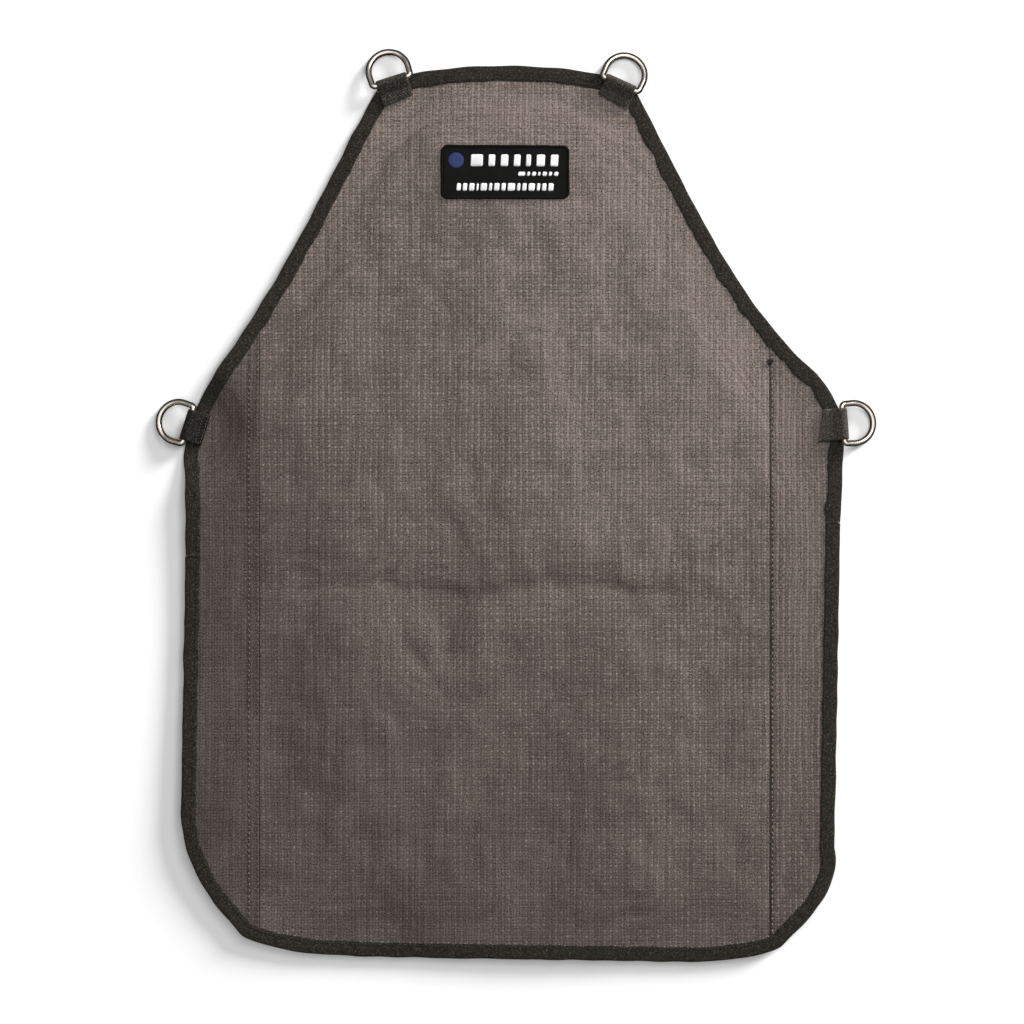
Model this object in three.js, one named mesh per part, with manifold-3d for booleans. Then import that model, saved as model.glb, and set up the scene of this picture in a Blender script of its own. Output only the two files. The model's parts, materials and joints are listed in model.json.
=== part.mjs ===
// A bib apron of cut-resistant cloth with a taped edge and four D-rings, lying flat.
// +Z is the apron's face, +Y runs towards the neck, and +X is to the right of someone
// looking down on the face. The origin is the centre of the base. All sizes are in millimetres.

import * as THREE from 'three';
import { mergeVertices } from 'three/addons/utils/BufferGeometryUtils.js';
import Module from 'manifold-3d';

const wasm = await Module();
wasm.setup();

// ---- Driving dimensions ----

// Plies, from the back up. AIR is the gap left between neighbouring plies.
const AIR = 0.1;
const TAPE = 0.6;
const LINING = 0.4;
const CORE = 0.8;
const FACE = 0.8;
const THREAD = 0.2;
const THREAD_WIDTH = 0.6;

// Binding: a tape folded over the edge, with a leg of this width on each side.
const LEG = 12.7;
const TAPE_JOIN = 0.3;
const BINDING_STITCH_INSET = 11.2;

// The panels stop this far inside the outer edge of the binding.
const PANEL_INSET = TAPE + 0.4;

// Side seams: each gore lies over the centre panel by LAP, up to the edge given here.
const LEFT_GORE_EDGE = -217.5;
const RIGHT_GORE_EDGE = 215.5;
const LAP = 13;
const SEAM_ROW_INSETS = [1.5, 8.5];

// Under each gore the centre panel steps down. These are the distances inboard of the gore's
// edge where the step starts and ends, on the panel's top and on its underside.
const STEP_TOP = [0.5, 2];
const STEP_UNDER = [1.2, 2.7];
const CORE_SIDE_GAP = 0.5;

// D-rings: round wire bent to a D, its bar held in a loop of webbing.
const WIRE = 5.2;
const RING_RADIUS = 17;
const RING_DEPTH = 9.5;
const RING_CORNER = 2.8;
const RING_TAPER = THREE.MathUtils.degToRad(2);
const WEB = 1.1;
const WEB_WIDTH = 27.4;
const WEB_CLEARANCE = 0.25;

// Each tab: the middle of its ring's bar, its outward heading (degrees, anticlockwise from +Y),
// how far its sewn end lies inboard of the bar, and how much that end is cut on the skew.
const TABS = [
  { name: 'top_left', x: -105.2, y: 360.2, heading: 18, reach: 17.2, skew: 5 },
  { name: 'top_right', x: 88.3, y: 357.6, heading: -24.2, reach: 15.6, skew: -5 },
  { name: 'left', x: -277.6, y: 68.9, heading: 72.3, reach: 15.2, skew: 0 },
  { name: 'right', x: 277.2, y: 70, heading: -85.7, reach: 18.4, skew: -13 },
];

// Label: a patch with an overlocked border, and plain embroidery [x, y, width, height].
const LABEL = { x: -9.3, y: 283.1, width: 109, height: 46, corner: 6, border: 2.2, thick: 0.9 };
const EMBROIDERY = 0.4;
const LABEL_DOT = { x: -41.5, y: 9.8, radius: 6.6 };
const LABEL_BARS = {
  label_upper_bar: [8, 9.8, 74, 10],
  label_small_bar: [28, -1.6, 34, 3.6],
  label_lower_bar: [0, -12.8, 82, 6.4],
};

// ---- Heights that follow from the plies ----

const LINING_Z = TAPE + AIR;
const CORE_Z = LINING_Z + LINING + AIR;
const FACE_Z = CORE_Z + CORE + AIR;
const FACE_TOP = FACE_Z + FACE;
const FRONT_LEG_Z = FACE_TOP + AIR;
const EDGE_TOP = FRONT_LEG_Z + TAPE;
const STITCH_Z = EDGE_TOP + AIR;
const TAB_Z = STITCH_Z + THREAD + AIR;
const LABEL_Z = FACE_TOP + AIR;
const LOOP_INNER = WIRE / 2 + WEB_CLEARANCE;
const LOOP_OUTER = LOOP_INNER + WEB;
const BAR_Z = TAB_Z + LOOP_OUTER;
const RING_TILT = Math.asin((BAR_Z - WIRE / 2) / (RING_DEPTH + RING_RADIUS));

// ---- Colours and finishes ----

function finish(color, roughness, metalness = 0) {
  return { color, roughness, metalness };
}

const FACE_CLOTH = finish(0x6d6259, 0.6);
const GORE_CLOTH = finish(0x675c55, 0.6);
const CORE_CLOTH = finish(0xb9ad8e, 0.9);
const LINING_CLOTH = finish(0x3a3836, 0.85);
const BINDING_TAPE = finish(0x2a2824, 0.8);
const WEBBING = finish(0x262522, 0.75);
const LIGHT_THREAD = finish(0xb4aca2, 0.6);
const DARK_THREAD = finish(0x1f1c1a, 0.7);
const NICKEL = finish(0xc9c4bc, 0.18, 1);
const LABEL_CLOTH = finish(0x121315, 0.8);
const WHITE_THREAD = finish(0xe6e6e4, 0.5);
const BLUE_THREAD = finish(0x2c3f86, 0.5);

const apron = new THREE.Group();

function addPiece(name, geometry, look, parent = apron) {
  const mesh = new THREE.Mesh(geometry, new THREE.MeshStandardMaterial(look));
  mesh.name = name;
  parent.add(mesh);
  return mesh;
}

// ---- Solids ----

function toManifold(geometry) {
  const bare = geometry.clone();
  bare.deleteAttribute('normal');
  bare.deleteAttribute('uv');
  const merged = mergeVertices(bare);
  return new wasm.Manifold(new wasm.Mesh({
    numProp: 3,
    vertProperties: Float32Array.from(merged.attributes.position.array),
    triVerts: Uint32Array.from(merged.index.array),
  }));
}

function meshGeometry(vertices, triangles) {
  const geometry = new THREE.BufferGeometry();
  geometry.setAttribute('position', new THREE.Float32BufferAttribute(vertices, 3));
  geometry.setIndex(Array.from(triangles));
  geometry.computeVertexNormals();
  return geometry;
}

function common(a, b) {
  const mesh = toManifold(a).intersect(toManifold(b)).getMesh();
  return meshGeometry(mesh.vertProperties, mesh.triVerts);
}

function prism(shape, low, high, curveSegments = 4) {
  const options = { depth: high - low, bevelEnabled: false, curveSegments };
  return new THREE.ExtrudeGeometry(shape, options).translate(0, 0, low);
}

function block(x0, x1, y0, y1, z0, z1) {
  const box = new THREE.BoxGeometry(x1 - x0, y1 - y0, z1 - z0);
  return box.translate((x0 + x1) / 2, (y0 + y1) / 2, (z0 + z1) / 2);
}

function roundedRectangle(width, height, radius) {
  const [x, y] = [width / 2 - radius, height / 2 - radius];
  const shape = new THREE.Shape();
  shape.absarc(x, y, radius, 0, Math.PI / 2);
  shape.absarc(-x, y, radius, Math.PI / 2, Math.PI);
  shape.absarc(-x, -y, radius, Math.PI, 1.5 * Math.PI);
  shape.absarc(x, -y, radius, 1.5 * Math.PI, 2 * Math.PI);
  shape.closePath();
  return shape;
}

// ---- Outer edge ----

// The places where one length of binding meets the next.
const JOIN = {
  leftNeck: new THREE.Vector2(-118.5, 353),
  rightNeck: new THREE.Vector2(102, 352),
  rightSide: new THREE.Vector2(275.5, -14),
  leftSide: new THREE.Vector2(-281, -42),
};

// The outer edge, clockwise from the left neck corner: an arched neck, two long armhole
// curves, nearly straight sides, cut-off lower corners and a slightly bowed hem.
function outerEdge() {
  const edge = new THREE.Path();
  edge.moveTo(JOIN.leftNeck.x, JOIN.leftNeck.y);
  edge.bezierCurveTo(-99.5, 382.5, 88.5, 380.5, JOIN.rightNeck.x, JOIN.rightNeck.y);
  edge.bezierCurveTo(148, 266, 186, 173.5, 255.5, 112.5);
  edge.quadraticCurveTo(281.5, 82.5, 278.5, 54.5);
  edge.lineTo(JOIN.rightSide.x, JOIN.rightSide.y);
  edge.lineTo(270.5, -289.5);
  edge.quadraticCurveTo(276, -316.5, 252, -346);
  edge.lineTo(227.5, -371.5);
  edge.quadraticCurveTo(216.5, -384, 147, -387);
  edge.bezierCurveTo(86.5, -385, -135.5, -384, -175, -379.5);
  edge.quadraticCurveTo(-226.5, -372, -235, -362);
  edge.lineTo(-257, -336);
  edge.quadraticCurveTo(-284.5, -298, -285, -259);
  edge.lineTo(JOIN.leftSide.x, JOIN.leftSide.y);
  edge.lineTo(-281.5, 31);
  edge.quadraticCurveTo(-286, 63, -254, 117);
  edge.bezierCurveTo(-186.5, 210, -153, 294, JOIN.leftNeck.x, JOIN.leftNeck.y);
  return edge.getPoints(10).slice(0, -1);
}

const EDGE = outerEdge();

// Unit normal to the right of the edge from a to b, which is inwards on a clockwise loop.
function inward(a, b) {
  return new THREE.Vector2(b.y - a.y, a.x - b.x).normalize();
}

// The vector that moves point i of the edge inwards by 1 mm along its mitre.
function mitre(i) {
  const count = EDGE.length;
  const before = inward(EDGE[(i + count - 1) % count], EDGE[i]);
  const after = inward(EDGE[i], EDGE[(i + 1) % count]);
  return before.clone().add(after).divideScalar(1 + before.dot(after));
}

// The edge moved inwards by a depth.
function insetEdge(depth) {
  return EDGE.map((p, i) => p.clone().addScaledVector(mitre(i), depth));
}

// ---- Cloth panels ----

// Further out than any edge of the apron.
const REACH = 500;

const BODY = prism(new THREE.Shape(insetEdge(PANEL_INSET)), 0, EDGE_TOP);

function panel(xLow, xHigh, low, high) {
  return common(BODY, block(xLow, xHigh, -REACH, REACH, low, high));
}

// The centre panel steps down to the height of the core where a gore covers its edges.
function centrePanel() {
  const [left, right] = [LEFT_GORE_EDGE, RIGHT_GORE_EDGE];
  const lapTop = CORE_Z + CORE;
  const profile = new THREE.Shape([
    [left - LAP, CORE_Z],
    [left + STEP_UNDER[0], CORE_Z],
    [left + STEP_UNDER[1], FACE_Z],
    [right - STEP_UNDER[1], FACE_Z],
    [right - STEP_UNDER[0], CORE_Z],
    [right + LAP, CORE_Z],
    [right + LAP, lapTop],
    [right - STEP_TOP[0], lapTop],
    [right - STEP_TOP[1], FACE_TOP],
    [left + STEP_TOP[1], FACE_TOP],
    [left + STEP_TOP[0], lapTop],
    [left - LAP, lapTop],
  ].map(([x, z]) => new THREE.Vector2(x, z)));
  const bar = prism(profile, -REACH, REACH).rotateX(Math.PI / 2);
  return common(BODY, bar);
}

function addPanels() {
  const coreTop = CORE_Z + CORE;
  const outside = LAP + CORE_SIDE_GAP;
  const inside = STEP_UNDER[1] + CORE_SIDE_GAP;
  const [left, right] = [LEFT_GORE_EDGE, RIGHT_GORE_EDGE];
  addPiece('back_lining', panel(-REACH, REACH, LINING_Z, LINING_Z + LINING), LINING_CLOTH);
  addPiece('core_left_ply', panel(-REACH, left - outside, CORE_Z, coreTop), CORE_CLOTH);
  addPiece(
    'core_centre_ply',
    panel(left + inside, right - inside, CORE_Z, coreTop),
    CORE_CLOTH,
  );
  addPiece('core_right_ply', panel(right + outside, REACH, CORE_Z, coreTop), CORE_CLOTH);
  addPiece('face_centre_panel', centrePanel(), FACE_CLOTH);
  addPiece('face_left_gore', panel(-REACH, left, FACE_Z, FACE_TOP), GORE_CLOTH);
  addPiece('face_right_gore', panel(right, REACH, FACE_Z, FACE_TOP), GORE_CLOTH);
}

// ---- Binding ----

function edgeIndex(place) {
  const distances = EDGE.map((p) => p.distanceTo(place));
  return distances.indexOf(Math.min(...distances));
}

// The points of the edge from one join to the next, each with its mitre. The two end points
// are drawn back along the edge, which leaves a narrow gap at each join.
function edgeRun(from, to) {
  const count = EDGE.length;
  const first = edgeIndex(from);
  const steps = (edgeIndex(to) - first + count) % count || count;
  const run = Array.from({ length: steps + 1 }, (_, k) => {
    const i = (first + k) % count;
    return { point: EDGE[i].clone(), mitre: mitre(i) };
  });
  for (const [end, next] of [[0, 1], [steps, steps - 1]]) {
    const along = run[next].point.clone().sub(run[end].point).setLength(TAPE_JOIN / 2);
    run[end].point.add(along);
  }
  return run;
}

// A section of (inset, height) points carried along a run of the edge, with closed ends.
function sweep(run, section) {
  const sides = section.length;
  const vertices = run.flatMap(({ point, mitre: across }) => section.flatMap(
    ([inset, z]) => [point.x + across.x * inset, point.y + across.y * inset, z],
  ));
  const triangles = [];
  for (let k = 0; k + 1 < run.length; k += 1) {
    for (let j = 0; j < sides; j += 1) {
      const a = k * sides + j;
      const b = k * sides + (j + 1) % sides;
      triangles.push(a, a + sides, b, b, a + sides, b + sides);
    }
  }
  const corners = section.map(([x, y]) => new THREE.Vector2(x, y));
  const last = (run.length - 1) * sides;
  for (const [a, b, c] of THREE.ShapeUtils.triangulateShape(corners, [])) {
    triangles.push(a, b, c, last + a, last + c, last + b);
  }
  return meshGeometry(vertices, triangles);
}

function addBinding() {
  const fold = [
    [0, 0],
    [LEG, 0],
    [LEG, TAPE],
    [TAPE, TAPE],
    [TAPE, FRONT_LEG_Z],
    [LEG, FRONT_LEG_Z],
    [LEG, EDGE_TOP],
    [0, EDGE_TOP],
  ];
  const [near, far] = [-1, 1].map((side) => BINDING_STITCH_INSET + side * THREAD_WIDTH / 2);
  const row = [
    [near, STITCH_Z],
    [far, STITCH_Z],
    [far, STITCH_Z + THREAD],
    [near, STITCH_Z + THREAD],
  ];
  const lengths = {
    neck: edgeRun(JOIN.leftNeck, JOIN.rightNeck),
    right_armhole: edgeRun(JOIN.rightNeck, JOIN.rightSide),
    lower: edgeRun(JOIN.rightSide, JOIN.leftSide),
    left_armhole: edgeRun(JOIN.leftSide, JOIN.leftNeck),
  };
  for (const [name, run] of Object.entries(lengths)) {
    addPiece(`binding_${name}`, sweep(run, fold), BINDING_TAPE);
    addPiece(`binding_${name}_stitch`, sweep(run, row), LIGHT_THREAD);
  }
}

// ---- Side seams ----

// How far down the face reaches at x before the binding covers it.
function faceBottom(x) {
  const line = insetEdge(LEG + 1);
  const heights = line.map((a, i) => {
    const b = line[(i + 1) % line.length];
    const share = (x - a.x) / (b.x - a.x);
    return share >= 0 && share <= 1 ? a.y + share * (b.y - a.y) : Infinity;
  });
  return Math.min(...heights);
}

// A row of thread on the face, from a height down to the binding.
function seamThread(x, top) {
  const half = THREAD_WIDTH / 2;
  const z = FACE_TOP + AIR;
  return block(x - half, x + half, faceBottom(x), top, z, z + THREAD);
}

function addSeams() {
  const [outer, inner] = [SEAM_ROW_INSETS[1], SEAM_ROW_INSETS[0]];
  const left = LEFT_GORE_EDGE;
  const right = RIGHT_GORE_EDGE;
  addPiece('left_seam_outer_thread', seamThread(left - outer, 118), LIGHT_THREAD);
  addPiece('left_seam_inner_thread', seamThread(left - inner, 122), LIGHT_THREAD);
  addPiece('right_seam_inner_thread', seamThread(right + inner, 118), LIGHT_THREAD);
  addPiece('right_seam_outer_thread', seamThread(right + outer, 116), LIGHT_THREAD);
  const knot = new THREE.SphereGeometry(1.7, 12, 8).rotateX(Math.PI / 2).scale(1.1, 1, 0.7);
  addPiece('seam_knot', knot.translate(right, 122.5, FACE_TOP + 1.4), DARK_THREAD);
}

// ---- Tabs and D-rings, each drawn with its bar on the local X axis and +Y outwards ----

// Side view of the webbing: a flat lower ply, a loop round the bar, and an upper ply that
// comes down to lie on the lower one where they are sewn together.
function tabShape(reach) {
  const sewnTop = 2 * WEB - LOOP_OUTER;
  const meet = new THREE.Vector2(-8.5, sewnTop);
  const lift = meet.angle() - Math.acos(LOOP_OUTER / meet.length());
  const shape = new THREE.Shape();
  shape.moveTo(-reach, -LOOP_OUTER);
  shape.lineTo(0, -LOOP_OUTER);
  shape.absarc(0, 0, LOOP_OUTER, -Math.PI / 2, lift);
  shape.lineTo(meet.x, meet.y);
  shape.lineTo(-reach, sewnTop);
  const tip = LOOP_INNER * (1 + Math.sin(lift)) / Math.cos(lift);
  const hole = new THREE.Path();
  hole.moveTo(tip, -LOOP_INNER);
  hole.lineTo(0, -LOOP_INNER);
  hole.absarc(0, 0, LOOP_INNER, -Math.PI / 2, lift);
  shape.holes.push(hole);
  return shape;
}

function tabGeometry(reach, skew) {
  const web = prism(tabShape(reach), -WEB_WIDTH / 2, WEB_WIDTH / 2, 10);
  const upright = new THREE.Matrix4().makeBasis(
    new THREE.Vector3(0, 1, 0),
    new THREE.Vector3(0, 0, 1),
    new THREE.Vector3(1, 0, 0),
  );
  web.applyMatrix4(upright);
  const place = web.attributes.position;
  const slope = Math.tan(THREE.MathUtils.degToRad(skew));
  for (let i = 0; i < place.count; i += 1) {
    const atSewnEnd = place.getY(i) < 0.01 - reach;
    if (atSewnEnd) place.setY(i, place.getY(i) + slope * place.getX(i));
  }
  return web;
}

// The box stitch that holds the two plies together, a closed loop of thread.
function boxStitch() {
  const [x, near, far] = [11.6, -9.6, -14];
  const ring = (grow) => [
    [-x - grow, far - grow],
    [x + grow, far - grow],
    [x + grow, near + grow],
    [-x - grow, near + grow],
  ].map(([u, v]) => new THREE.Vector2(u, v));
  const shape = new THREE.Shape(ring(THREAD_WIDTH / 2));
  shape.holes.push(new THREE.Path(ring(-THREAD_WIDTH / 2)));
  const z = 2 * WEB - LOOP_OUTER + AIR;
  return prism(shape, z, z + THREAD);
}

// The centre line of the wire: a bar, two small corners, two legs that lean in, and an arc.
class RingLine extends THREE.Curve {
  constructor() {
    super();
    const lean = RING_TAPER;
    const drop = Math.sin(lean) * (RING_CORNER - RING_DEPTH);
    const bend = (RING_RADIUS - RING_CORNER + drop) / Math.cos(lean);
    this.path = new THREE.Path();
    this.path.moveTo(-bend, 0);
    this.path.lineTo(bend, 0);
    this.path.absarc(bend, RING_CORNER, RING_CORNER, -Math.PI / 2, -lean);
    this.path.absarc(0, RING_DEPTH, RING_RADIUS, -lean, Math.PI + lean);
    this.path.absarc(-bend, RING_CORNER, RING_CORNER, Math.PI + lean, 1.5 * Math.PI);
  }

  getPoint(t) {
    const { x, y } = this.path.getPoint(t);
    return new THREE.Vector3(x, y, 0);
  }
}

function ringGeometry() {
  return new THREE.TubeGeometry(new RingLine(), 52, WIRE / 2, 10, true);
}

function addTabs() {
  for (const { name, x, y, heading, reach, skew } of TABS) {
    const place = new THREE.Group();
    place.position.set(x, y, BAR_Z);
    place.rotation.z = THREE.MathUtils.degToRad(heading);
    apron.add(place);
    addPiece(`${name}_tab`, tabGeometry(reach, skew), WEBBING, place);
    addPiece(`${name}_tab_stitch`, boxStitch(), LIGHT_THREAD, place);
    const ring = addPiece(`${name}_ring`, ringGeometry(), NICKEL, place);
    ring.rotation.x = -RING_TILT;
  }
}

// ---- Label ----

function addLabel() {
  const { x, y, width, height, corner, border, thick } = LABEL;
  const place = new THREE.Group();
  place.position.set(x, y, LABEL_Z);
  apron.add(place);
  const inside = border + AIR;
  const patch = roundedRectangle(width - 2 * inside, height - 2 * inside, corner - inside);
  addPiece('label_patch', prism(patch, 0, thick), LABEL_CLOTH, place);
  const rim = roundedRectangle(width, height, corner);
  rim.holes.push(roundedRectangle(width - 2 * border, height - 2 * border, corner - border));
  addPiece('label_border', prism(rim, 0, thick + 0.3), LABEL_CLOTH, place);
  const low = thick + AIR;
  const dot = new THREE.Shape().absarc(LABEL_DOT.x, LABEL_DOT.y, LABEL_DOT.radius, 0, 2 * Math.PI);
  addPiece('label_dot', prism(dot, low, low + EMBROIDERY, 12), BLUE_THREAD, place);
  for (const [name, [barX, barY, w, h]] of Object.entries(LABEL_BARS)) {
    const bar = prism(roundedRectangle(w, h, h * 0.3), low, low + EMBROIDERY);
    addPiece(name, bar.translate(barX, barY, 0), WHITE_THREAD, place);
  }
}

addPanels();
addBinding();
addSeams();
addTabs();
addLabel();

// Put the origin at the centre of the base.
apron.updateMatrixWorld(true);
const bounds = new THREE.Box3().setFromObject(apron, true);
const middle = bounds.getCenter(new THREE.Vector3());
apron.position.set(-middle.x, -middle.y, -bounds.min.z);

export default apron;
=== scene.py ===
"""A taped bib apron of cut-resistant cloth with four D-rings, lying flat on a pale floor.

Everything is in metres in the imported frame: +Z out of the apron's face, +Y to the neck, +X to the
right of someone looking down on the face.  Each sub-assembly is a class that builds its own pieces.
"""

import json
import logging
import math
from dataclasses import dataclass, field
from enum import Enum
from typing import Sequence

import bmesh
import bpy
import numpy as np
from mathutils import Matrix, Vector


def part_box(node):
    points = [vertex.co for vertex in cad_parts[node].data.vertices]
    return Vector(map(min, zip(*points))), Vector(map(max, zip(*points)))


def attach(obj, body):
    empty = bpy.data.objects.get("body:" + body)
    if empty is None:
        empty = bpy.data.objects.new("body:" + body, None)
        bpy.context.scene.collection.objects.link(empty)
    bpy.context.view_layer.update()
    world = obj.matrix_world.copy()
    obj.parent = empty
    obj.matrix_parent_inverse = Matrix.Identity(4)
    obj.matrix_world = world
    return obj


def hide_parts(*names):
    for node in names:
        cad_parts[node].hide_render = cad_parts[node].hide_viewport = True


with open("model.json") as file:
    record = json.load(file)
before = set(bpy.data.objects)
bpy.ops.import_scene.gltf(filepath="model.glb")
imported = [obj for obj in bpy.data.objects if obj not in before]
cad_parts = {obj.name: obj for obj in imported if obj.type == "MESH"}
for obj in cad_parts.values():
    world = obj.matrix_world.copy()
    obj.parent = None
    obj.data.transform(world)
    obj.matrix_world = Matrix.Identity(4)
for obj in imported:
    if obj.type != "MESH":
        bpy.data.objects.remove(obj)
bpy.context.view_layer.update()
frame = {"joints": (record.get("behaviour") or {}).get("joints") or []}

LOG = logging.getLogger("apron")
APRON = "apron"
PI = math.pi

# Heights of the plies above the floor, from the back lining up to the front leg of the binding.
LINING_TOP = 0.0011
CORE_TOP = 0.0020
FACE_TOP = 0.0029
FRONT_LEG = 0.0030
EDGE_TOP = 0.0036
LINING_THICK = 0.0004
CORE_THICK = 0.0008
FACE_THICK = 0.0008
TAPE = 0.0006


# ---------------------------------------------------------------------------------------------
# Small numeric helpers
# ---------------------------------------------------------------------------------------------


def smooth(x: np.ndarray, low: float, high: float) -> np.ndarray:
    """The smoothstep 3t^2 - 2t^3 of t = (x - low) / (high - low), clipped to 0 and 1.

    Args:
        x: Where to take the step.
        low: The value at which the step starts.
        high: The value at which it ends.

    Returns:
        An array like x, from 0 to 1.
    """
    t = np.clip((x - low) / (high - low), 0.0, 1.0)
    return t * t * (3.0 - 2.0 * t)


def wander(s: np.ndarray, wavelength: float, seed: int) -> np.ndarray:
    """A smooth seeded wobble along a line: five sines near one wavelength, added.

    Args:
        s: Distance along the line.
        wavelength: The middle wavelength of the wobble.
        seed: Picks the phases, so that each use differs and repeats.

    Returns:
        Values of about -1 to 1.
    """
    rng = np.random.default_rng(seed)
    rates = 2 * PI / (wavelength * rng.uniform(0.6, 1.7, 5))
    phases = rng.uniform(0, 2 * PI, 5)
    return np.sin(np.multiply.outer(s, rates) + phases).sum(-1) / 2.6


def run_along(line: np.ndarray) -> np.ndarray:
    """The distance along a line of points at each of them, from 0."""
    return np.concatenate([[0.0], np.cumsum(np.linalg.norm(np.diff(line, axis=0), axis=1))])


def rough_field(x: np.ndarray, y: np.ndarray, size: float, seed: int, count: int = 18) -> np.ndarray:
    """A smooth seeded unevenness over a plane: plane waves in random directions, added.

    Args:
        x: X of each point.
        y: Y of each point.
        size: The middle wavelength.
        seed: Picks the directions and phases.
        count: The number of waves.

    Returns:
        Values of about -1 to 1.
    """
    rng = np.random.default_rng(seed)
    turn = rng.uniform(0, PI, count)
    rate = 2 * PI / (size * rng.uniform(0.6, 1.8, count))
    phase = rng.uniform(0, 2 * PI, count)
    waves = np.multiply.outer(x, np.cos(turn) * rate) + np.multiply.outer(y, np.sin(turn) * rate)
    return np.sin(waves + phase).sum(-1) / math.sqrt(count)


# ---------------------------------------------------------------------------------------------
# Mesh helpers
# ---------------------------------------------------------------------------------------------


def grid_quads(rows: int, cols: int, wrap_rows: bool = False, wrap_cols: bool = False) -> np.ndarray:
    """Quads over a grid of rows by cols points, counted row by row.

    Args:
        rows: Points along the first parameter.
        cols: Points along the second parameter.
        wrap_rows: Joins the last row to the first.
        wrap_cols: Joins the last column to the first.

    Returns:
        An array of quads, four point indices each.
    """
    r = np.arange(rows if wrap_rows else rows - 1)
    c = np.arange(cols if wrap_cols else cols - 1)
    r, c = (a.ravel() for a in np.meshgrid(r, c, indexing="ij"))
    r_next, c_next = (r + 1) % rows, (c + 1) % cols
    return np.stack([r * cols + c, r * cols + c_next, r_next * cols + c_next, r_next * cols + c], 1)


def signed_volume(points: np.ndarray, quads: np.ndarray) -> float:
    """Six times the volume that a closed quad mesh holds, negative if it is inside out.

    Args:
        points: The mesh's points.
        quads: Its quads.

    Returns:
        The signed measure, from the triple product of each triangle with the points' middle.
    """
    p = points - points.mean(0)
    a, b, c, d = (p[quads[:, k]] for k in range(4))
    return float((a * np.cross(b, c)).sum() + (a * np.cross(c, d)).sum())


def make_object(
    name: str,
    points: np.ndarray,
    quads: np.ndarray,
    ends: Sequence[Sequence[int]] = (),
    uv: np.ndarray | None = None,
    closed: bool = True,
) -> bpy.types.Object:
    """Puts a quad mesh into the scene, with its faces turned outwards and smooth shading.

    Args:
        name: The object's name.
        points: An (n, 3) array of places.
        quads: An (m, 4) array of indices.
        ends: Faces that close the two ends of a swept piece.
        uv: An (n, 2) array of surface coordinates in metres, or None.
        closed: Whether the mesh is closed, and so has an inside to turn away from.

    Returns:
        The new object, at the origin.
    """
    if closed and signed_volume(points, quads) < 0:
        quads = quads[:, ::-1]
        ends = [list(face)[::-1] for face in ends]
    mesh = bpy.data.meshes.new(name)
    mesh.from_pydata(points.tolist(), [], quads.tolist() + [list(face) for face in ends])
    if uv is not None:
        corner = np.empty(len(mesh.loops), np.int32)
        mesh.loops.foreach_get("vertex_index", corner)
        layer = mesh.uv_layers.new(name="surface")
        layer.data.foreach_set("uv", uv[corner].astype(np.float32).ravel())
    mesh.polygons.foreach_set("use_smooth", np.ones(len(mesh.polygons), bool))
    mesh.update()
    obj = bpy.data.objects.new(name, mesh)
    bpy.context.scene.collection.objects.link(obj)
    return obj


def swept(
    name: str,
    points: np.ndarray,
    uv: np.ndarray | None = None,
    ring: bool = False,
) -> bpy.types.Object:
    """Makes a tube-like piece from a (stations, section points, 3) array of places.

    Args:
        name: The object's name.
        points: The section's points at each station along the path.
        uv: Surface coordinates of the same layout, or None.
        ring: Whether the path closes on itself; otherwise both ends are capped.

    Returns:
        The new object.
    """
    stations, around = points.shape[:2]
    quads = grid_quads(stations, around, wrap_rows=ring, wrap_cols=True)
    flat = points.reshape(-1, 3)
    first = list(range(around))
    last = [(stations - 1) * around + k for k in range(around)]
    flat_uv = None if uv is None else uv.reshape(-1, 2)
    return make_object(name, flat, quads, [] if ring else [first, last[::-1]], flat_uv)


def tube(name: str, path: np.ndarray, radius: float | np.ndarray, sides: int, ring: bool) -> bpy.types.Object:
    """A round strand along a path, with frames carried along it from one fixed direction.

    Args:
        name: The piece's name.
        path: An (n, 3) line.
        radius: One radius, or one for each point.
        sides: Points round the strand.
        ring: Whether the path closes on itself.

    Returns:
        The piece.
    """
    ahead = np.roll(path, -1, 0) - np.roll(path, 1, 0)
    if not ring:
        ahead[0], ahead[-1] = path[1] - path[0], path[-1] - path[-2]
    ahead /= np.linalg.norm(ahead, axis=1)[:, None]
    side = np.cross(ahead, [0.0, 0.0, 1.0])
    side /= np.maximum(np.linalg.norm(side, axis=1), 1e-9)[:, None]
    up = np.cross(side, ahead)
    turn = np.linspace(0, 2 * PI, sides, endpoint=False)
    size = np.broadcast_to(np.asarray(radius, float).reshape(-1, 1, 1), (len(path), 1, 1))
    ray = np.cos(turn)[None, :, None] * side[:, None] + np.sin(turn)[None, :, None] * up[:, None]
    return swept(name, path[:, None] + size * ray, ring=ring)


def merge_close(obj: bpy.types.Object, gap: float = 1e-6) -> None:
    """Welds points that lie together, which closes poles and pointed ends.

    Args:
        obj: The object to weld.
        gap: The largest distance that is welded.
    """
    mesh = bmesh.new()
    mesh.from_mesh(obj.data)
    bmesh.ops.remove_doubles(mesh, verts=mesh.verts, dist=gap)
    bmesh.ops.dissolve_degenerate(mesh, edges=mesh.edges, dist=gap)
    mesh.to_mesh(obj.data)
    mesh.free()
    obj.data.polygons.foreach_set("use_smooth", np.ones(len(obj.data.polygons), bool))


def thicken(obj: bpy.types.Object, thickness: float) -> None:
    """Gives an upward-facing sheet its thickness, downwards.

    Args:
        obj: The sheet.
        thickness: The cloth's thickness.
    """
    solid = obj.modifiers.new("thickness", "SOLIDIFY")
    solid.thickness = thickness
    solid.offset = -1.0


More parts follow.
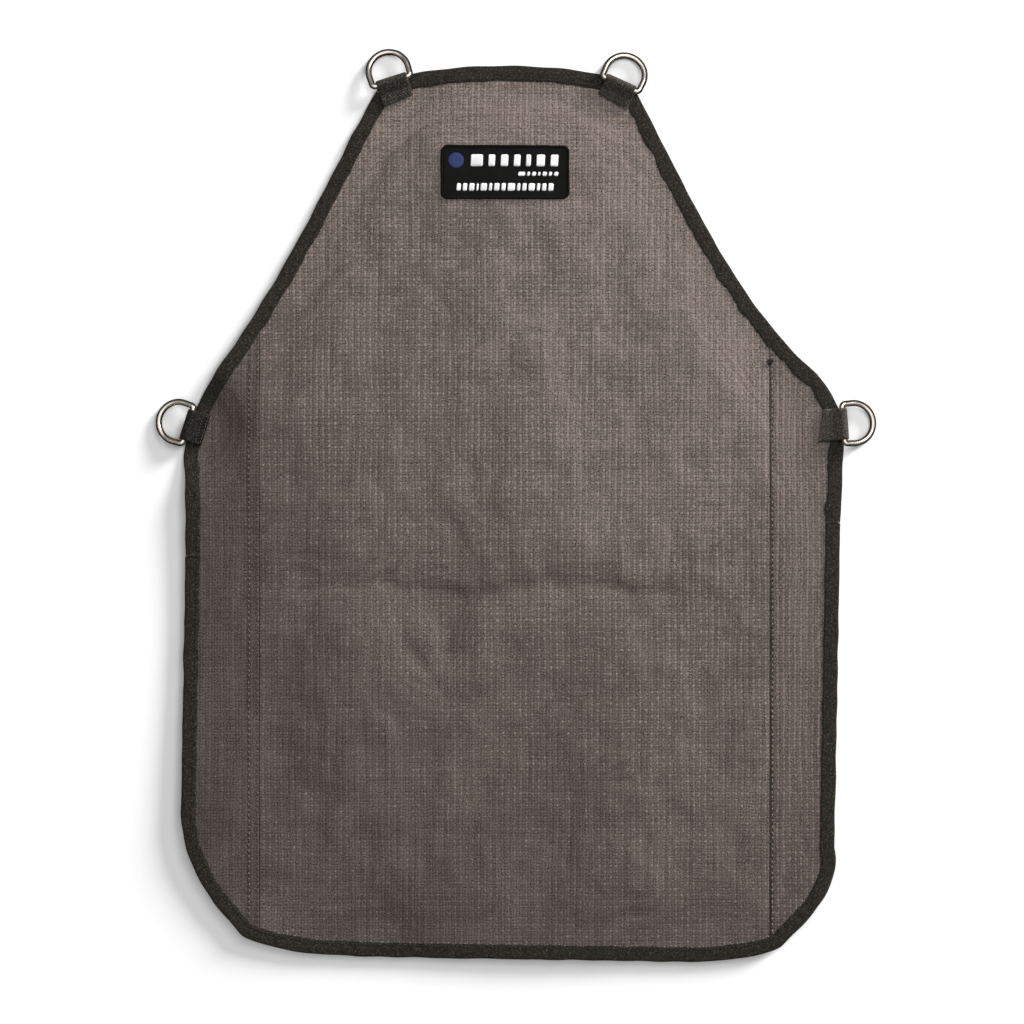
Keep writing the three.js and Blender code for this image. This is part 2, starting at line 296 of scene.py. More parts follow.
def fit(obj: bpy.types.Object, body: str, slot: str, material: bpy.types.Material, *nodes: str) -> None:
    """Rides a piece on a body, gives it its material, and stands it in for CAD nodes.

    Args:
        obj: The finished piece.
        body: The body it moves with.
        slot: Not used.
        material: Its material.
        *nodes: The CAD nodes that it replaces.
    """
    obj.data.materials.clear()
    obj.data.materials.append(material)
    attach(obj, body)
    if nodes:
        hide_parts(*nodes)
    LOG.info("%s: %d faces on %s, replaces %s", obj.name, len(obj.data.polygons), body, list(nodes))


# ---------------------------------------------------------------------------------------------
# Finishes
# ---------------------------------------------------------------------------------------------


class Graph:
    """A material's node tree with short calls for the nodes that the finishes use."""

    def __init__(self, name: str) -> None:
        """Starts a material whose only shader is a Principled one.

        Args:
            name: The material's name.
        """
        self.material = bpy.data.materials.new(name)
        self.material.use_nodes = True
        self.tree = self.material.node_tree
        self.tree.nodes.clear()
        output = self.tree.nodes.new("ShaderNodeOutputMaterial")
        self.shader = self.tree.nodes.new("ShaderNodeBsdfPrincipled")
        self.tree.links.new(self.shader.outputs["BSDF"], output.inputs["Surface"])

    def put(self, value: object, socket: bpy.types.NodeSocket) -> None:
        """Links a socket to an input, or sets the input to a plain value.

        Args:
            value: The output socket, or the value.
            socket: The input.
        """
        if isinstance(value, bpy.types.NodeSocket):
            self.tree.links.new(value, socket)
        else:
            socket.default_value = value

    def math(self, op: str, a: object, b: object = 0.0, c: object = 0.0) -> bpy.types.NodeSocket:
        """One Math node.

        Args:
            op: The operation's Blender name.
            a: First value or socket.
            b: Second value or socket.
            c: Third value or socket.

        Returns:
            The node's output.
        """
        node = self.tree.nodes.new("ShaderNodeMath")
        node.operation = op
        for value, socket in zip((a, b, c), node.inputs):
            self.put(value, socket)
        return node.outputs[0]

    def millimetres(self, surface: bool = False) -> bpy.types.NodeSocket:
        """Object coordinates, or the piece's own surface coordinates, in millimetres.

        Args:
            surface: Whether to take the surface coordinates.

        Returns:
            The coordinates' socket.
        """
        if surface:
            source = self.tree.nodes.new("ShaderNodeUVMap")
            source.uv_map = "surface"
            place = source.outputs[0]
        else:
            source = self.tree.nodes.new("ShaderNodeTexCoord")
            place = source.outputs["Object"]
        scale = self.tree.nodes.new("ShaderNodeVectorMath")
        scale.operation = "SCALE"
        scale.inputs["Scale"].default_value = 1000.0
        self.tree.links.new(place, scale.inputs[0])
        return scale.outputs[0]

    def split(self, vector: bpy.types.NodeSocket) -> Sequence[bpy.types.NodeSocket]:
        """The X, Y and Z of a vector.

        Args:
            vector: The vector's socket.

        Returns:
            Its three sockets.
        """
        node = self.tree.nodes.new("ShaderNodeSeparateXYZ")
        self.tree.links.new(vector, node.inputs[0])
        return node.outputs

    def noise(
        self,
        vector: bpy.types.NodeSocket,
        stretch: tuple[float, float, float],
        detail: float = 2.0,
        roughness: float = 0.5,
    ) -> bpy.types.NodeSocket:
        """Noise over a stretched copy of the coordinates.

        Args:
            vector: Coordinates in millimetres.
            stretch: Features per millimetre along each axis.
            detail: Octaves.
            roughness: How strong each octave is.

        Returns:
            A value of about 0 to 1.
        """
        mapping = self.tree.nodes.new("ShaderNodeMapping")
        mapping.inputs["Scale"].default_value = stretch
        self.tree.links.new(vector, mapping.inputs["Vector"])
        node = self.tree.nodes.new("ShaderNodeTexNoise")
        node.inputs["Scale"].default_value = 1.0
        node.inputs["Detail"].default_value = detail
        node.inputs["Roughness"].default_value = roughness
        self.tree.links.new(mapping.outputs[0], node.inputs["Vector"])
        return node.outputs[0]

    def span(self, value: object, low: float, high: float, start: float, end: float) -> bpy.types.NodeSocket:
        """Maps low..high of a value to start..end, clamped.

        Args:
            value: The value.
            low: Its low end.
            high: Its high end.
            start: The result at the low end.
            end: The result at the high end.

        Returns:
            The mapped value.
        """
        node = self.tree.nodes.new("ShaderNodeMapRange")
        for setting, socket in zip((value, low, high, start, end), node.inputs):
            self.put(setting, socket)
        return node.outputs[0]

    def blend(self, share: object, a: object, b: object) -> bpy.types.NodeSocket:
        """Mixes two colours.

        Args:
            share: 0 gives a, 1 gives b.
            a: First colour.
            b: Second colour.

        Returns:
            The mixed colour.
        """
        node = self.tree.nodes.new("ShaderNodeMix")
        node.data_type = "RGBA"
        self.put(share, node.inputs[0])
        self.put(a, node.inputs[6])
        self.put(b, node.inputs[7])
        return node.outputs[2]

    def bump(self, height: bpy.types.NodeSocket, depth: float, strength: float = 1.0) -> None:
        """Turns a height of 0 to 1 into the shader's normal.

        Args:
            height: The height.
            depth: What a height of 1 stands for, in metres.
            strength: How much of it shows.
        """
        node = self.tree.nodes.new("ShaderNodeBump")
        node.inputs["Strength"].default_value = strength
        node.inputs["Distance"].default_value = depth
        self.tree.links.new(height, node.inputs["Height"])
        self.tree.links.new(node.outputs[0], self.shader.inputs["Normal"])

    def set(self, **values: object) -> None:
        """Sets shader inputs by name, with underscores for spaces."""
        for name, value in values.items():
            self.put(value, self.shader.inputs[name.replace("_", " ")])


def rgba(color: tuple[float, float, float], tone: float = 1.0) -> tuple[float, float, float, float]:
    """A colour with alpha 1, its light multiplied by a tone."""
    return (color[0] * tone, color[1] * tone, color[2] * tone, 1.0)


@dataclass(frozen=True)
class MeshCloth:
    """The coated open weave of the face: round yarns, pale crossings partly painted as highlights, uneven
    sheen, and painted light that is brighter to the upper right.
    """

    name: str
    color: tuple[float, float, float] = (0.0935, 0.0738, 0.0640)
    tone: float = 1.0
    # how strong the pale crossings and their painted highlights are
    dot: float = 1.0
    pitch: float = 2.53
    needle_rows: tuple[float, ...] = ()
    needle_pitch: float = 4.9

    def material(self) -> bpy.types.Material:
        """Makes the material.

        With u and v as the yarn counts across and along, |sin(pi u)| and |sin(pi v)| are the round
        backs of the yarns, their product is the crossing, and sin(pi u) and sin(pi v) tell every
        other yarn from its neighbours, so that their product is a dot on every other crossing. The
        dots are pale yarn and painted highlight together, painted brighter towards the upper right,
        where the light comes from.

        Returns:
            The material.
        """
        g = Graph(self.name)
        place = g.millimetres()
        x, y, _ = g.split(place)
        drift_x = g.math("MULTIPLY_ADD", g.noise(place, (0.02, 0.012, 0.0), 2.0), 5.0, x)
        drift_y = g.math("MULTIPLY_ADD", g.noise(place, (0.011, 0.025, 7.0), 2.0), 4.0, y)
        rate = PI / self.pitch
        warp = g.math("SINE", g.math("MULTIPLY", drift_x, rate))
        weft = g.math("SINE", g.math("MULTIPLY", drift_y, rate))
        warp_back, weft_back = g.math("ABSOLUTE", warp), g.math("ABSOLUTE", weft)
        crossing = g.math("POWER", g.math("MULTIPLY", warp_back, weft_back), 1.3)
        every_other = g.math("MULTIPLY", g.math("MAXIMUM", warp, 0.0), g.math("MAXIMUM", weft, 0.0))
        columns = g.math("MULTIPLY", g.math("MAXIMUM", warp, 0.0), 0.16)
        yarn = g.math("POWER", g.math("MAXIMUM", warp_back, weft_back), 0.8)
        streak = g.noise(place, (0.34, 0.012, 0.0), 3.0, 0.6)
        cross_streak = g.noise(place, (0.012, 0.34, 3.0), 2.0, 0.6)
        region = g.noise(place, (0.014, 0.012, 5.0), 2.0, 0.5)
        patch = g.noise(place, (0.007, 0.0055, 1.0), 2.0, 0.45)
        grain = g.noise(place, (0.85, 0.85, 0.0), 2.0, 0.9)
        spark = g.span(g.noise(place, (0.21, 0.21, 9.0), 2.0, 0.7), 0.42, 0.66, 0.25, 1.5)
        # pale crossings, with painted highlights on them
        pale_crossings_and_highlights = g.math("MULTIPLY_ADD", every_other, 1.25, g.math("MULTIPLY", crossing, 0.40))
        pale_crossings_and_highlights = g.math("MULTIPLY", g.math("ADD", pale_crossings_and_highlights, columns), spark)
        # painted sheen: the crossings are painted brighter towards the upper right, where the light comes
        # from
        upper = g.span(g.math("MULTIPLY_ADD", x, 0.8, y), -300.0, 260.0, 0.55, 1.45)
        pale_crossings_and_highlights = g.math("MULTIPLY", g.math("MULTIPLY", pale_crossings_and_highlights, upper), self.dot)
        pale_crossings_and_highlights = g.math("MULTIPLY", pale_crossings_and_highlights, g.span(region, 0.35, 0.65, 0.5, 1.45))
        light = g.math("MULTIPLY_ADD", yarn, 0.24, 0.50)
        light = g.math("ADD", light, pale_crossings_and_highlights)
        light = g.math("ADD", light, g.span(streak, 0.3, 0.7, -0.22, 0.22))
        light = g.math("ADD", light, g.span(cross_streak, 0.3, 0.7, -0.13, 0.13))
        light = g.math("ADD", light, g.span(grain, 0.34, 0.66, -0.85, 0.85))
        light = g.math("MULTIPLY", light, g.span(patch, 0.32, 0.68, 0.86, 1.15))
        # painted light: the cloth is painted lighter to the upper right and darker to the lower left
        light = g.math("MULTIPLY", light, self.painted_light_gradient(g, x, y))
        # painted shade in the needle holes and along each seam row
        seam_shade = self.needle_hole_shade(g, x, y)
        if seam_shade is not None:
            light = g.math("MULTIPLY", light, g.math("SUBTRACT", 1.0, g.math("MULTIPLY", seam_shade, 0.8)))
        low, high = rgba(self.color, 0.12 * self.tone), rgba(self.color, 2.32 * self.tone)
        g.set(Base_Color=g.blend(g.span(light, 0.0, 2.2, 0.0, 1.0), low, high))
        g.set(Roughness=g.span(patch, 0.3, 0.7, 0.58, 0.44), Specular_IOR_Level=0.24)
        g.set(Sheen_Weight=0.03, Sheen_Roughness=0.45)
        height = g.math("MULTIPLY_ADD", crossing, 0.45, g.math("MULTIPLY", yarn, 0.55))
        height = g.math("MULTIPLY_ADD", grain, 0.25, height)
        g.bump(height, 0.0003, 0.6)
        return g.material

    def painted_light_gradient(self, g: Graph, x: bpy.types.NodeSocket, y: bpy.types.NodeSocket) -> bpy.types.NodeSocket:
        """Painted light: the cloth is painted darker low down and to the left, and lighter to the upper
        right, where the light comes from.

        Args:
            g: The material being made.
            x: X in millimetres.
            y: Y in millimetres.

        Returns:
            A factor on the cloth's lightness.
        """
        return g.span(g.math("ADD", x, y), -330.0, 330.0, 0.73, 1.42)

    def needle_hole_shade(
        self,
        g: Graph,
        x: bpy.types.NodeSocket,
        y: bpy.types.NodeSocket,
    ) -> bpy.types.NodeSocket | None:
        """Painted shade: dark pricks in the needle holes between the stitches of each seam row, and a darker
        band of painted shade along the puckered row.

        Args:
            g: The material being made.
            x: X in millimetres.
            y: Y in millimetres.

        Returns:
            1 in a prick and 0 away from the rows, or None where the cloth has no seam row.
        """
        total = None
        along = g.math("PINGPONG", y, self.needle_pitch / 2)
        for row in self.needle_rows:
            across = g.math("ABSOLUTE", g.math("SUBTRACT", x, row))
            far = g.math("SQRT", g.math("ADD", g.math("POWER", across, 2.0), g.math("POWER", along, 2.0)))
            # a painted dark prick in each hole, and a band of painted shade along the row
            prick_shade = g.math("MAXIMUM", g.span(far, 0.5, 1.4, 1.0, 0.0), g.span(across, 0.4, 4.0, 0.26, 0.0))
            total = prick_shade if total is None else g.math("MAXIMUM", total, prick_shade)
        return total


@dataclass(frozen=True)
class PlainCloth:
    """A close plain weave: the lining and the cut-resistant core."""

    name: str
    color: tuple[float, float, float]
    pitch: float = 0.8

    def material(self) -> bpy.types.Material:
        """Makes the material: rounded yarns over and under, with a faint mottle.

        Returns:
            The material.
        """
        g = Graph(self.name)
        place = g.millimetres()
        x, y, _ = g.split(place)
        rate = PI / self.pitch
        warp, weft = (g.math("SINE", g.math("MULTIPLY", axis, rate)) for axis in (x, y))
        over = g.math("MULTIPLY", warp, weft)
        mottle = g.noise(place, (0.09, 0.09, 0.0), 4.0, 0.6)
        share = g.math("MULTIPLY_ADD", over, 0.2, mottle)
        g.set(Base_Color=g.blend(share, rgba(self.color, 0.7), rgba(self.color, 1.3)))
        g.set(Roughness=0.86, Specular_IOR_Level=0.25)
        g.bump(g.math("MULTIPLY_ADD", over, 0.5, 0.5), 0.00015)
        return g.material


class Weave(Enum):
    """How a narrow fabric is woven."""

    TAPE = "fine ribs across the tape"
    WEBBING = "a coarse herringbone"


@dataclass(frozen=True)
class NarrowFabric:
    """Binding tape and webbing, with ribs that follow the piece's own surface coordinates."""

    name: str
    color: tuple[float, float, float]
    weave: Weave
    dust: float = 1.0
    lint: tuple[float, float, float] = (0.150, 0.135, 0.115)

    def material(self) -> bpy.types.Material:
        """Makes the material: ribs, a slant where it is webbing, dusty mottling and pale fluff.

        Returns:
            The material.
        """
        g = Graph(self.name)
        place = g.millimetres(surface=True)
        along, across, _ = g.split(place)
        if self.weave is Weave.TAPE:
            rib = g.math("SINE", g.math("MULTIPLY", along, 2 * PI / 0.95))
            cord = g.math("SINE", g.math("MULTIPLY", across, 2 * PI / 0.7))
            height = g.math("MULTIPLY_ADD", g.math("MULTIPLY", rib, cord), 0.3, 0.5)
            height = g.math("MULTIPLY_ADD", rib, 0.16, height)
            depth = 0.00016
        else:
            zig = g.math("PINGPONG", across, 3.1)
            slant = g.math("ADD", along, zig)
            twill = g.math("SINE", g.math("MULTIPLY", slant, 2 * PI / 1.55))
            cord = g.math("ABSOLUTE", g.math("SINE", g.math("MULTIPLY", across, PI / 1.1)))
            height = g.math("MULTIPLY_ADD", g.math("MULTIPLY", twill, cord), 0.42, 0.5)
            depth = 0.0004
        mottle = g.noise(place, (0.20, 0.20, 0.0), 5.0, 0.7)
        fluff = g.span(g.noise(place, (0.75, 0.85, 4.0), 3.0, 0.75), 0.52, 0.74, 0.0, self.dust)
        share = g.math("MULTIPLY_ADD", height, 0.40, g.span(mottle, 0.3, 0.7, -0.15, 0.35))
        share = g.math("MULTIPLY_ADD", fluff, 0.9, share)
        ground = g.blend(share, rgba(self.color, 0.35), rgba(self.color, 2.4))
        speck = g.noise(place, (0.60, 0.66, 8.0), 2.0, 0.8)
        speck = g.math("MULTIPLY", g.span(speck, 0.54, 0.70, 0.0, 1.0), 0.55 * self.dust)
        g.set(Base_Color=g.blend(speck, ground, rgba(self.lint)))
        g.set(Roughness=g.span(mottle, 0.3, 0.7, 0.9, 0.7), Specular_IOR_Level=0.12)
        g.set(Sheen_Weight=0.06, Sheen_Roughness=0.5)
        g.bump(height, depth)
        return g.material


@dataclass(frozen=True)
class Yarn:
    """Sewing and embroidery thread: a twist across the strand and a soft gloss."""

    name: str
    color: tuple[float, float, float]
    gloss: float = 0.45
    shine: float = 0.3

    def material(self) -> bpy.types.Material:
        """Makes the material: fine slanted fibres and a little soiling.

        Returns:
            The material.
        """
        g = Graph(self.name)
        place = g.millimetres()
        fibre = g.noise(place, (3.2, 3.2, 3.2), 3.0, 0.7)
        soil = g.noise(place, (0.06, 0.06, 0.0), 3.0, 0.6)
        share = g.math("MULTIPLY_ADD", fibre, 0.5, g.math("MULTIPLY", soil, 0.5))
        g.set(Base_Color=g.blend(share, rgba(self.color, 0.72), rgba(self.color, 1.22)))
        g.set(Roughness=g.span(fibre, 0.3, 0.7, self.gloss - 0.08, self.gloss + 0.12))
        g.set(Specular_IOR_Level=self.shine, Sheen_Weight=0.1 * self.shine)
        g.bump(fibre, 0.00008)
        return g.material


@dataclass(frozen=True)
class Nickel:
    """Bright nickel plate with rubbed places and hair scratches."""

    name: str = "ring_nickel"
    color: tuple[float, float, float] = (0.78, 0.70, 0.605)

    def material(self) -> bpy.types.Material:
        """Makes the material: the plate is brightest where straps have rubbed it.

        Returns:
            The material.
        """
        g = Graph(self.name)
        place = g.millimetres()
        rub = g.noise(place, (0.16, 0.16, 0.16), 3.0, 0.6)
        hair = g.noise(place, (0.5, 4.0, 2.2), 2.0, 0.8)
        tone = g.span(rub, 0.3, 0.7, 0.0, 1.0)
        g.set(Base_Color=g.blend(tone, rgba(self.color, 0.86), rgba(self.color, 1.08)))
        rough = g.math("MULTIPLY_ADD", hair, 0.07, g.span(rub, 0.3, 0.7, 0.20, 0.11))
        g.set(Metallic=1.0, Roughness=rough)
        g.bump(hair, 0.00002, 0.35)
        return g.material


@dataclass(frozen=True)
class LabelWeave:
    """The label's dense black damask ground."""

    name: str = "label_damask"
    color: tuple[float, float, float] = (0.0082, 0.0081, 0.0078)

    def material(self) -> bpy.types.Material:
        """Makes the material: a steep fine twill with grey lint.

        Returns:
            The material.
        """
        g = Graph(self.name)
        place = g.millimetres()
        x, y, _ = g.split(place)
        slant = g.math("MULTIPLY_ADD", y, 1.7, x)
        twill = g.math("SINE", g.math("MULTIPLY", slant, 2 * PI / 0.75))
        lint = g.span(g.noise(place, (1.5, 1.5, 0.0), 3.0, 0.7), 0.55, 0.8, 0.0, 1.0)
        share = g.math("MULTIPLY_ADD", lint, 0.5, g.math("MULTIPLY_ADD", twill, 0.15, 0.25))
        g.set(Base_Color=g.blend(share, rgba(self.color, 0.3), rgba(self.color, 2.2)))
        g.set(Roughness=0.75, Specular_IOR_Level=0.06)
        g.bump(g.math("MULTIPLY_ADD", twill, 0.5, 0.5), 0.00012)
        return g.material


# ---------------------------------------------------------------------------------------------
# The outer edge and the lie of the cloth
# ---------------------------------------------------------------------------------------------


class EdgeLine:
    """The outer edge of the binding, clockwise from the left neck corner, by distance along it.

    Each stretch is a Bezier curve of degree 1, 2 or 3, sum of C(n,k) t^k (1-t)^(n-k) P_k, and the
    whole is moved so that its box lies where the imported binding's does.
    """

    left_neck = (-0.1185, 0.353)
    right_neck = (0.102, 0.352)
    right_side = (0.2755, -0.014)
    left_side = (-0.281, -0.042)
    stretches = (
        ((-0.0995, 0.3825), (0.0885, 0.3805), right_neck),
        ((0.148, 0.266), (0.186, 0.1735), (0.2555, 0.1125)),
        ((0.2815, 0.0825), (0.2785, 0.0545)),
        (right_side,),
        ((0.2705, -0.2895),),
        ((0.276, -0.3165), (0.252, -0.346)),
        ((0.2275, -0.3715),),
        ((0.2165, -0.384), (0.147, -0.387)),
        ((0.0865, -0.385), (-0.1355, -0.384), (-0.175, -0.3795)),
        ((-0.2265, -0.372), (-0.235, -0.362)),
        ((-0.257, -0.336),),
        ((-0.2845, -0.298), (-0.285, -0.259)),
        (left_side,),
        ((-0.2815, 0.031),),
        ((-0.286, 0.063), (-0.254, 0.117)),
        ((-0.1865, 0.210), (-0.153, 0.294), left_neck),
    )

    def __init__(self, step: float = 0.0008) -> None:
        """Lays out the edge as a fine line.

        Args:
            step: About how far apart the line's points lie.
        """
        start = np.array(self.left_neck)
        parts = []
        for controls in self.stretches:
            ends = np.array([start, *controls])
            count = max(2, int(np.linalg.norm(np.diff(ends, axis=0), axis=1).sum() / step))
            t = np.linspace(0, 1, count, endpoint=False)[:, None]
            degree = len(ends) - 1
            weights = [math.comb(degree, k) * t**k * (1 - t) ** (degree - k) for k in range(degree + 1)]
            parts.append(sum(w * p for w, p in zip(weights, ends)))
            start = ends[-1]
        line = np.concatenate(parts)
        boxes = [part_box(f"binding_{n}") for n in ("neck", "lower", "left_armhole", "right_armhole")]
        low = np.min([np.array(b[0])[:2] for b in boxes], axis=0)
        high = np.max([np.array(b[1])[:2] for b in boxes], axis=0)
        self.shift = (low + high) / 2 - (line.min(0) + line.max(0)) / 2
        self.line = np.vstack([line, line[:1]]) + self.shift
        legs = np.diff(self.line, axis=0)
        self.along = run_along(self.line)
        self.total = float(self.along[-1])
        self.middles = (self.along[:-1] + self.along[1:]) / 2
        self.normals = np.stack([legs[:, 1], -legs[:, 0]], 1) / np.linalg.norm(legs, axis=1)[:, None]

    def where(self, place: tuple[float, float]) -> float:
        """The distance along the edge of the point nearest to a place."""
        gap = np.linalg.norm(self.line[:-1] - (np.array(place) + self.shift), axis=1)
        return float(self.along[int(gap.argmin())])

    def offset(self, s: np.ndarray, inset: np.ndarray, low: float, high: float) -> np.ndarray:
        """Points inset from the edge.

        Args:
            s: Distances along the edge, between low and high.
            inset: How far inwards each point lies, of the same shape.
            low: Where this length of edge starts; normals aren't taken from before it.
            high: Where it ends; normals aren't taken from past it.

        Returns:
            An array of the same shape with X and Y added.
        """
        wrapped = np.mod(s, self.total)
        xy = np.stack([np.interp(wrapped, self.along, self.line[:, k]) for k in (0, 1)], -1)
        probe = np.clip(s, low + 0.001, high - 0.001)
        normal = 0.0
        for shift in (-0.003, -0.0015, 0.0, 0.0015, 0.003):
            near = np.mod(np.clip(probe + shift, low + 0.001, high - 0.001), self.total)
            nearby = [np.interp(near, self.middles, self.normals[:, k]) for k in (0, 1)]
            normal = normal + np.stack(nearby, -1)
        normal = normal / np.linalg.norm(normal, axis=-1, keepdims=True)
        return xy + normal * inset[..., None]

    def loop(self, inset: float) -> np.ndarray:
        """The whole edge moved inwards, as an (n, 2) array."""
        s = np.arange(0, self.total, 0.0015)
        return self.offset(s, np.full_like(s, inset), 0.0, self.total)

    def columns(self, x: np.ndarray, inset: float) -> tuple[np.ndarray, np.ndarray]:
        """The lowest and highest Y inside the inset edge at each X.

        Args:
            x: The columns, increasing.
            inset: How far inside the outer edge the limits lie.

        Returns:
            The lower and the upper limits.
        """
        return self.limits(self.loop(inset), x)

    def rows(self, y: np.ndarray, inset: float) -> tuple[np.ndarray, np.ndarray]:
        """The leftmost and rightmost X inside the inset edge at each Y."""
        return self.limits(self.loop(inset)[:, ::-1], y)

    @staticmethod
    def limits(loop: np.ndarray, at: np.ndarray) -> tuple[np.ndarray, np.ndarray]:
        """Where lines of constant first coordinate cross a loop, lowest and highest.

        Args:
            loop: The loop's points.
            at: The first coordinates.

        Returns:
            The lowest and highest second coordinate on each line.
        """
        a, b = loop, np.roll(loop, -1, axis=0)
        rise = b[:, 0] - a[:, 0]
        rise = np.where(np.abs(rise) < 1e-9, 1e-9, rise)
        share = (at[:, None] - a[None, :, 0]) / rise
        hit = (share >= 0) & (share <= 1)
        value = a[:, 1] + share * (b[:, 1] - a[:, 1])
        low = np.where(hit, value, np.inf).min(1)
        high = np.where(hit, value, -np.inf).max(1)
        return low, high


@dataclass
class Lie:
    """How the cloth lies: its height above where a perfectly flat apron would be."""

    edge: EdgeLine
    leg: float = 0.0127
    sag: float = 0.00055
    crease_y: float = -0.0705
    quiet: list[tuple[float, float]] = field(init=False)
    loop: np.ndarray = field(init=False)

    def __post_init__(self) -> None:
        """Notes where the tabs are, because the cloth lies flat under them, and a coarse edge."""
        self.quiet = [tuple(j["pos_m"][:2]) for j in frame["joints"]]
        self.loop = self.edge.loop(0.0)[::6]

    def depth(self, x: np.ndarray, y: np.ndarray) -> np.ndarray:
        """Roughly how far each point lies inside the outer edge.

        Args:
            x: X of each point.
            y: Y of each point.

        Returns:
            The distance to the nearest point of the coarse edge.
        """
        flat = np.stack([x.ravel(), y.ravel()], 1)
        out = np.empty(len(flat))
        for part in np.array_split(np.arange(len(flat)), max(1, len(flat) // 4000)):
            gap = flat[part, None, :] - self.loop[None]
            out[part] = np.sqrt((gap**2).sum(-1).min(1))
        return out.reshape(x.shape)

    def stillness(self, x: np.ndarray, y: np.ndarray) -> np.ndarray:
        """0 at each tab and 1 well away from all of them.

        Args:
            x: X of each point.
            y: Y of each point.

        Returns:
            1 - smoothstep of the bell exp(-r^2 / 2a^2) round the nearest tab.
        """
        near = np.zeros_like(x)
        for tx, ty in self.quiet:
            near = np.maximum(near, np.exp(-((x - tx) ** 2 + (y - ty) ** 2) / (2 * 0.030**2)))
        return 1.0 - smooth(near, 0.05, 0.75)

    def waves(self, x: np.ndarray, y: np.ndarray) -> np.ndarray:
        """The height of the broad folds and swells, less the depth of the packing crease.

        Each swell is a bell, exp(-u^2 / 2a^2 - v^2 / 2b^2) in axes of its own, given by its middle,
        its two widths, its height and its turn.

        Args:
            x: X of each point.
            y: Y of each point.

        Returns:
            The height at each point, which may be below 0.
        """
        long_waves = 0.0009 * np.sin(2 * PI * (x + 0.22 * y) / 0.185 + 0.7)
        long_waves += 0.0007 * np.sin(2 * PI * (x - 0.12 * y) / 0.122 + 2.1) * smooth(-y, -0.16, 0.12)
        reach = smooth(x, -0.215, -0.13) * (1 - smooth(x, 0.08, 0.17))
        line = self.crease_y + 0.004 * np.sin(2 * PI * x / 0.17) + 0.0015 * wander(x, 0.04, 3)
        crease = 0.0038 * reach * self.valley(y - line, 0.020, 0.012)
        below = smooth(-y, 0.066, 0.084) * (1 - smooth(-y, 0.118, 0.152))
        upright = -0.060 - 0.10 * (y + 0.1)
        crease = crease + 0.0036 * below * self.valley(x - upright, 0.017, 0.022)
        along = 0.572 * (x + 0.079) - 0.820 * (y + 0.136)
        across = 0.820 * (x + 0.079) + 0.572 * (y + 0.136)
        crease = crease + 0.0026 * np.exp(-(along**2) / (2 * 0.022**2)) * self.valley(across, 0.015, 0.008)
        swells = 0.0
        for cx, cy, wide, tall, high, turn in (
            (0.040, 0.010, 0.050, 0.080, 0.0010, 0.2),
            (0.150, -0.090, 0.030, 0.120, 0.0014, 0.05),
            (-0.160, 0.020, 0.030, 0.110, 0.0013, -0.05),
            (-0.130, 0.150, 0.030, 0.090, 0.0010, 0.3),
            (0.060, 0.210, 0.034, 0.080, 0.0012, -0.35),
            (-0.080, -0.250, 0.040, 0.090, 0.0012, 0.1),
            (0.110, -0.270, 0.045, 0.080, 0.0010, -0.2),
        ):
            u = (x - cx) * math.cos(turn) + (y - cy) * math.sin(turn)
            v = (y - cy) * math.cos(turn) - (x - cx) * math.sin(turn)
            swells = swells + high * np.exp(-(u**2) / (2 * wide**2) - v**2 / (2 * tall**2))
        uneven = 0.00035 * rough_field(x, y, 0.05, 11) + 0.00012 * rough_field(x, y, 0.018, 12)
        return 1.3 * (long_waves + swells + uneven) - crease + 0.0052

    @staticmethod
    def valley(off: np.ndarray, before: float, after: float) -> np.ndarray:
        """The depth, from 1 down to 0, of a folded line: exp(-|off| / reach), softened at 0.

        Args:
            off: The distance across the line, negative on its near side.
            before: How far the near side reaches.
            after: How far the far side reaches.

        Returns:
            The depth at each point.
        """
        side = np.where(off < 0, before, after)
        return np.exp(-(np.sqrt(off**2 + 0.0016**2) - 0.0016) / side)

    def curl(self, x: np.ndarray, y: np.ndarray) -> np.ndarray:
        """The lift of the edges: most at the left side, the hem and the lower corners.

        Args:
            x: X of each point.
            y: Y of each point.

        Returns:
            The lift at each point, 0 in the middle of the apron.
        """
        left = 0.0074 * smooth(-x, 0.16, 0.285) * (0.82 + 0.18 * np.sin(2 * PI * y / 0.31 + 0.4))
        hem = 0.0052 * smooth(-y, 0.29, 0.386) * (0.8 + 0.2 * np.sin(2 * PI * x / 0.27 + 1.2))
        right = 0.0018 * smooth(x, 0.20, 0.277) * (0.5 + 0.5 * np.sin(2 * PI * y / 0.26 + 2.6))
        armhole = 0.0018 * smooth(y, 0.08, 0.20) * smooth(np.abs(x + 0.005) + 0.56 * y, 0.21, 0.30)
        left_armhole = 0.0030 * smooth(y, 0.02, 0.12) * smooth(-x - 0.55 * y, 0.02, 0.30)
        both = np.sqrt(left**2 + hem**2)
        return both + right + armhole + left_armhole

    def height(self, x: np.ndarray, y: np.ndarray) -> np.ndarray:
        """How far the cloth stands above its flat place.

        Inside the binding the plies drop by the tape's thickness; near the edge they are held
        up by it; the waves fade out at the edge and at the tabs.

        Args:
            x: X of each point.
            y: Y of each point.

        Returns:
            The height, never so low that the lining would go through the floor.
        """
        depth = self.depth(x, y)
        still = self.stillness(x, y)
        inside = smooth(depth, self.leg, self.leg + 0.022)
        broad = smooth(depth, 0.0, 0.075)
        pucker = np.exp(-np.abs(depth - self.leg) / 0.006) * 0.00018 * rough_field(x, y, 0.011, 21)
        lift = still * (broad * np.maximum(self.waves(x, y), 0.0) + self.curl(x, y) + pucker)
        return np.maximum(lift, 0.0) - self.sag * inside


# ---------------------------------------------------------------------------------------------
# Cloth panels
# ---------------------------------------------------------------------------------------------


